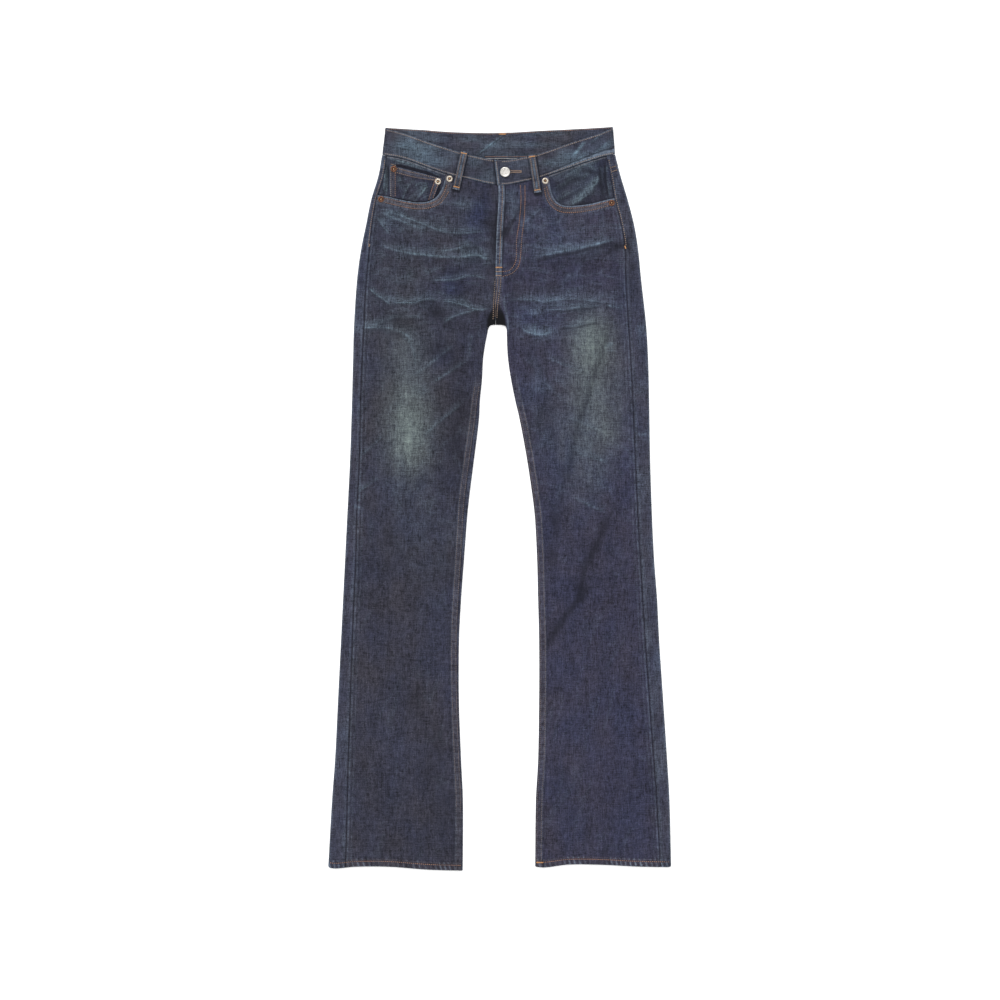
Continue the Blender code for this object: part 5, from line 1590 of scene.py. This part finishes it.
def rowStitches(tree, path, above=True, pitch=None, width=None):
    # one run of stitches along a path of x, y places in millimetres
    path = smoothPath(path, .5)
    pitch, width = pitch or thread["pitch"], width or thread["width"]
    length = np.concatenate([[0], np.cumsum(np.hypot(*np.diff(path, axis=0).T))])
    count = max(1, int(length[-1] / pitch))
    pitch = length[-1] / count
    starts = (np.arange(count) + .5 * (1 - thread["share"])) * pitch
    way, proud = (1, thread["proud"]) if above else (-1, thread["flush"])
    sets = []
    for shift, rise in ((0, -thread["sink"] * .5), (.5, proud), (1, -thread["sink"] * .5)):
        along = starts + shift * thread["share"] * pitch
        x, y = np.interp(along, length, path[:, 0]), np.interp(along, length, path[:, 1])
        z = heightsAt(tree, np.stack([x, y], 1), above) + way * rise
        sets.append(np.stack([x, y, z], 1))
    return stitchShape(*sets, width, thread["thick"])


def bartack(tree, centre, length, width, angle):
    # a dense bar of short stitches across a line
    along = np.array([math.cos(angle), math.sin(angle)])
    across = np.array([-along[1], along[0]])
    places = np.arange(-length / 2, length / 2 + .01, .62)
    middles = np.array(centre) + places[:, None] * along
    z = heightsAt(tree, middles)
    z = np.max(z) * .5 + z * .5
    wobble = .12 * np.sin(7.3 * np.arange(len(places)))[:, None] * along
    starts = np.column_stack([middles - across * width / 2 + wobble, z - .15])
    ends = np.column_stack([middles + across * width / 2 - wobble, z - .15])
    return stitchShape(starts, np.column_stack([middles, z + .42]), ends, .72, .6)


def joined(name, parts, material):
    points, faces, start = [], [], 0
    for part, partFaces in parts:
        points.append(part)
        faces += [[start + k for k in face] for face in partFaces]
        start += len(part)
    mesh = bpy.data.meshes.new(name)
    mesh.from_pydata((np.concatenate(points) * mm).tolist(), [], faces)
    mesh.shade_smooth()
    mesh.materials.append(material)
    return addObject(name, mesh)


def legLine(side, offset, start, stop, seam="inseam", step=12):
    # x, y places along a leg's seam, an offset in from it on the front panel
    leg, inside = legs[side], insides[side]
    ys = stepped(start, stop, step)
    if seam == "inseam":
        away = tableValue(inside, "inner", ys) + np.maximum(0, tableValue(inside, "inseam", ys))
    else:
        away = tableValue(leg, "outer", ys) - tableValue(leg, "outseam", ys)
    return np.stack([side * (away + offset), ys], 1)


def hemPath(side, up):
    share = np.linspace(.012, .988, 26)
    leg, inside = legs[side], insides[side]
    outer, inner = side * leg["outer"][-1], side * inside["inner"][-1]
    return np.stack([mix(outer, inner, share), hemLine(side, share) + up], 1)


def bandPath(table, start, stop, edge, inset):
    xs = stepped(start, stop, 9)
    inward = inset if edge == "bottom" else -inset
    return np.stack([xs, tableValue(table, edge, xs) + inward], 1)


inseamStitched = {-1: (168, -470), 1: (140, -546)}
bartacks = (
    # x, y, length, width, turn, thread
    (-1.4, 340.0, 9.0, 1.8, 0, "faded"), (-1.6, 334.0, 8.4, 1.8, 0, "faded"),
    (-159.5, 500.2, 7.5, 1.6, -.28, "faded"), (170, 497, 9.0, 1.4, .3, "faded"),
    (171.5, 491, 9.0, 1.4, .3, "faded"), (-195.5, 380, 4.6, 1.9, 1.2, "faded"),
    (-1.2, 346.2, 9.5, 2.2, 0, "orange"), (188, 377.4, 5.5, 2.2, 1.9, "orange"),
    (59.8, -545.6, 9.5, 1.9, 0, "orange"), (4, 546.4, 9.5, 2.2, 0, "orange"),
)


def sew():
    tree = surfaceTree(clothPieces)
    lowTree = surfaceTree([piece for piece in clothPieces if "loop_front" not in piece.name])
    rows = {key: [] for key in ("copper", "faded", "cream", "dull", "orange", "underside")}

    def run(key, path, over=tree, **sizes):
        rows[key].append(rowStitches(over, path, **sizes))

    def hidden(*path):
        rows["underside"].append(rowStitches(tree, path, above=False, pitch=thread["underPitch"]))

    for key in ("fly", "rightMouth", "leftMouth"):
        for path in seamRows[key]:
            run("copper", path)
    for path in seamRows["flyEdge"] + seamRows["crotch"]:
        run("faded", path, width=1.2)
    inset = band["edgeStitch"]
    for start, stop in ((-173, -9), (3, 170)):
        for edge in ("bottom", "top"):
            run("cream", bandPath(frontBand, start, stop, edge, inset), lowTree)
    run("cream", ((-5.4, 505), (-3.4, 490), (-1.2, 472)))
    run("copper", bandPath(backBand, -22, 56, "bottom", inset + .2))
    run("copper", bandPath(backBand, -170, 168, "top", inset * .7))
    for side, low in ((-1, 380), (1, 379)):
        for offset in inseamRows[side]:
            run("dull", legLine(side, offset, *inseamStitched[side]), width=.85)
        run("copper", hemPath(side, cloth["hemRow"]))
        hidden(*hemPath(side, cloth["hemRow"]))
        # the outseam is topstitched on the back's side from the waist to the bartack
        run("faded", legLine(side, 2.0, 508, low, "outseam", 8))
    for across, key in ((2.0, "cream"), (8.6, "copper")):
        leftX = coin["leftX"] + across
        run(key, ((leftX, 498), (leftX, 452.5)))
        run("copper", [coinPlace(1 - across / coin["wide"], share) for share in (.06, .5, .98)])
    for depth in (2.6, 9.0):
        run("faded", [coinPlace(share, depth / coin["tall"]) for share in (.02, .5, .98)])
    for spec in frontLoops:
        for offset in (-3.0, 3.0):
            run("faded", [loopPlace(spec, share, offset) for share in (.03, .5, .97)])
        (topX, topY), (lowX, lowY) = spec["top"], spec["bottom"]
        turn = math.atan2(lowX - topX, topY - lowY)
        for share in loop["tacks"]:
            rows["orange"].append(bartack(tree, loopPlace(spec, share, 0), loop["width"] - 1.6, 1.7, turn))
    for x, y, length, width, turn, key in bartacks:
        rows[key].append(bartack(tree, (x, y), length, width, turn))
    rows["faded"].extend(buttonhole(tree))
    # hidden rows: patch pockets, yokes, seat seam and the back of the waistband
    backX, top = cloth["centreBack"], cloth["pocketTop"]
    for side in (-1, 1):
        middle, half = backX + side * cloth["pocketOffset"], cloth["pocketWidth"] / 2
        for inset in (2.0, 8.0):
            low, lowHalf = top - cloth["pocketHeight"] + inset, half - cloth["pocketTaper"] - inset
            corner = low + cloth["pocketPoint"]
            for way in (-side, side):
                hidden((middle + way * (half - inset), top - 2), (middle + way * lowHalf, corner))
            for way in (-1, 1):
                hidden((middle + way * lowHalf, corner), (middle, low))
        hidden((middle - half + 3, top - 8), (middle + half - 3, top - 8))
        for drop in (2, 8):
            hidden((side * 10 + backX, 457.5 - drop), (side * 90, 476 - drop), (side * 168, 491 - drop))
    for inset in (2, 8):
        hidden((backX - inset, 508), (backX - inset, 400), (backX - inset, 330))
    for edge in ("bottom", "top"):
        hidden(*bandPath(backBand, -165, 165, edge, band["edgeStitch"]))
    return [joined("stitches_" + key, parts, threads["copper" if key == "underside" else key])
            for key, parts in rows.items()]


def buttonhole(tree):
    # keyhole buttonhole: a round eye under the button's edge and two whipped sides
    parts = []

    def whip(x, y, z, endX, endY, rise, width, thick):
        # one stitch from its middle out to both sides
        start, end = np.array([[x - endX, y - endY, z - .1]]), np.array([[x + endX, y + endY, z - .1]])
        parts.append(stitchShape(start, np.array([[x, y, z + rise]]), end, width, thick))

    for side in (-1, 1):
        for x in np.arange(15.8, 31.5, .66):
            y = 489.8 + side * (1.15 + .5 * smooth((19 - x) / 3))
            whip(x, y, heightsAt(tree, [(x, y)])[0], 0, .9, .35, .6, .5)
    for y in np.arange(488.4, 491.4, .66):
        whip(31.9, y, heightsAt(tree, [(31.8, y)])[0], .9, 0, .4, .7, .55)
    return parts


sewn = sew()
print("stitches ready")

# ---- rivets and button
rivetMetals = {
    "rivet_coin_outer": "copper", "rivet_coin_inner": "silver",
    "rivet_mouth_right_inner": "silver", "rivet_mouth_right_outer": "copper",
    "rivet_mouth_left_inner": "silver", "rivet_mouth_left_outer": "copper",
}


def turnedPart(profile, steps, centre, uneven=0.0):
    # points and faces of a round part from its profile, top to rim to foot
    profile = np.array(profile, float)
    angles = np.linspace(0, 2 * math.pi, steps, endpoint=False)
    radius, height = profile[:, 0][:, None], profile[:, 1][:, None]
    x, y = radius * np.cos(angles), radius * np.sin(angles)
    z = height + uneven * patches(x, y, (1.3, 1.3), 181) * (radius > 0)
    points = np.stack([x, y, z + 0 * x], -1)[1:-1].reshape(-1, 3)
    rings = len(profile) - 2
    ids = np.arange(rings * steps).reshape(rings, steps)
    nextId = np.roll(ids, -1, axis=1)
    faces = np.stack([ids[:-1], ids[1:], nextId[1:], nextId[:-1]], -1).reshape(-1, 4).tolist()
    first, last = rings * steps, rings * steps + 1
    faces += [[first, int(ids[0, k]), int(nextId[0, k])] for k in range(steps)]
    faces += [[last, int(nextId[-1, k]), int(ids[-1, k])] for k in range(steps)]
    ends = np.array([[0, 0, profile[0, 1]], [0, 0, profile[-1, 1]]])
    return np.concatenate([points, ends]) + np.array(centre), faces


def roundedProfile(points, edge=1.0):
    # eases the corners of a profile, given as shares of its radius and as heights
    points = np.array(points, float) * (edge, 1)
    for _ in range(2):
        cut = [points[0]]
        for a, b in zip(points[:-1], points[1:]):
            cut += [mix(a, b, .25), mix(a, b, .75)]
        points = np.array(cut + [points[-1]])
    points[0, 0] = points[-1, 0] = 0
    return points


def roundBox(name):
    # the foot's middle and the radius of a round part, from its node's box
    low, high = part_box(name)
    return ((low.x + high.x) / 2 / mm, (low.y + high.y) / 2 / mm, low.z / mm), (high.x - low.x) / 2 / mm


def rivetPiece(name, metal):
    foot, edge = roundBox(name)
    parts = (
        # ending, steps, unevenness, metal, profile
        ("_metal", 40, .05, "nickel" if metal == "silver" else "copper",
         ((0, .85), (.42, .85), (.5, 1.0), (.72, 1.25), (.97, .85), (1, .3), (.9, 0), (0, 0))),
        # a dark disc as painted shade in the hollow, and a light post as a painted glint
        ("_pit", 24, .04, "pit", ((0, 1.0), (.30, 1.0), (.44, 1.02), (.52, .9), (.4, .7), (0, .7))),
        ("_post", 20, .04, "point", ((0, 1.5), (.16, 1.45), (.24, 1.2), (.26, .9), (.2, .8), (0, .8))),
    )
    made = []
    for ending, steps, uneven, face, profile in parts:
        shape = turnedPart(roundedProfile(profile, edge), steps, foot, uneven)
        made.append(joined(name + ending, [shape], metals[face]))
    return made


def buttonPiece():
    foot, edge = roundBox("button")
    cap = roundedProfile(((0, 2.35), (.3, 2.35), (.66, 2.4), (.74, 2.75), (.86, 3.0), (.97, 2.6), (1, 2.0),
                          (.93, 1.3), (.5, .9), (.48, 0), (0, 0)), edge)
    bead = roundedProfile(((0, .38), (.36, .25), (.42, -.1), (0, -.15)))
    boss = roundedProfile(((0, .5), (1.0, .38), (1.25, -.1), (0, -.15)))
    x, y, z = foot
    face, ring, beads = z + 2.4, edge * .52, 14
    parts = [turnedPart(cap, 72, foot, .10)]
    for k in range(beads):
        angle = 2 * math.pi * k / beads
        parts.append(turnedPart(bead, 10, (x + ring * math.cos(angle), y + ring * math.sin(angle), face)))
    parts.append(turnedPart(boss, 20, (x, y, face)))
    return joined("button_metal", parts, metals["silver"])


for name, metal in rivetMetals.items():
    ring, pit, post = rivetPiece(name, metal)
    keep(ring, [name], metal + "_metal")
    keep(pit, [], "copper_metal")
    keep(post, [], "copper_metal")
keep(buttonPiece(), ["button"], "silver_metal")
for row in sewn:
    keep(row, [], "denim")
print("hardware ready")

# ---- ride and replace
for piece, nodes, slot in pieces:
    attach(piece, "root")
    if nodes:
        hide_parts(*nodes)

# ---- surface, light and camera
studio = {"floorSize": 8.0, "floorTone": .93, "toneSpread": .01, "paperGlow": .3, "sky": 1.0,
          "key": 1.7, "keyFrom": (-.25, .9, 1.0), "keySpread": 28,
          "cameraHeight": 6.0, "lens": 144.0, "centre": (.000375, -.00225)}
half = studio["floorSize"] / 2
corners = [(-half, -half, 0), (half, -half, 0), (half, half, 0), (-half, half, 0)]
floorMesh = bpy.data.meshes.new("floor")
floorMesh.from_pydata(corners, [], [(0, 1, 2, 3)])
paper, paperTree, paperPlace = newMaterial("whitePaper")
paperNoise = stretchedNoise(paperTree, paperPlace, (.004, .004, .004))
low, high = studio["floorTone"] - studio["toneSpread"], studio["floorTone"] + studio["toneSpread"]
paperTone = node(paperTree, "MapRange", {0: paperNoise, 3: low, 4: high})
feed(paperTree, paperTree.nodes["Principled BSDF"], {
    "Base Color": paperTone.outputs[0], "Roughness": .9, "Emission Color": (1, 1, 1, 1),
    "Emission Strength": studio["paperGlow"]})
floorMesh.materials.append(paper)
addObject("floor", floorMesh)
world = bpy.data.worlds.new("studio")
world.use_nodes = True
feed(world.node_tree, world.node_tree.nodes["Background"], {0: (1, 1, 1, 1), 1: studio["sky"]})
bpy.context.scene.world = world
lamp = bpy.data.lights.new("key", "SUN")
lamp.energy = studio["key"]
lamp.angle = math.radians(studio["keySpread"])
fromX, fromY, fromZ = studio["keyFrom"]
addObject("key", lamp).rotation_euler = (math.atan2(-fromY, fromZ), math.atan2(fromX, fromZ), 0)
lens = bpy.data.cameras.new("camera")
lens.lens = studio["lens"]
lens.clip_end = 100
camera = addObject("camera", lens)
camera.location = (*studio["centre"], studio["cameraHeight"])
bpy.context.scene.camera = camera
bpy.context.scene.view_settings.view_transform = "Standard"
print("studio ready")
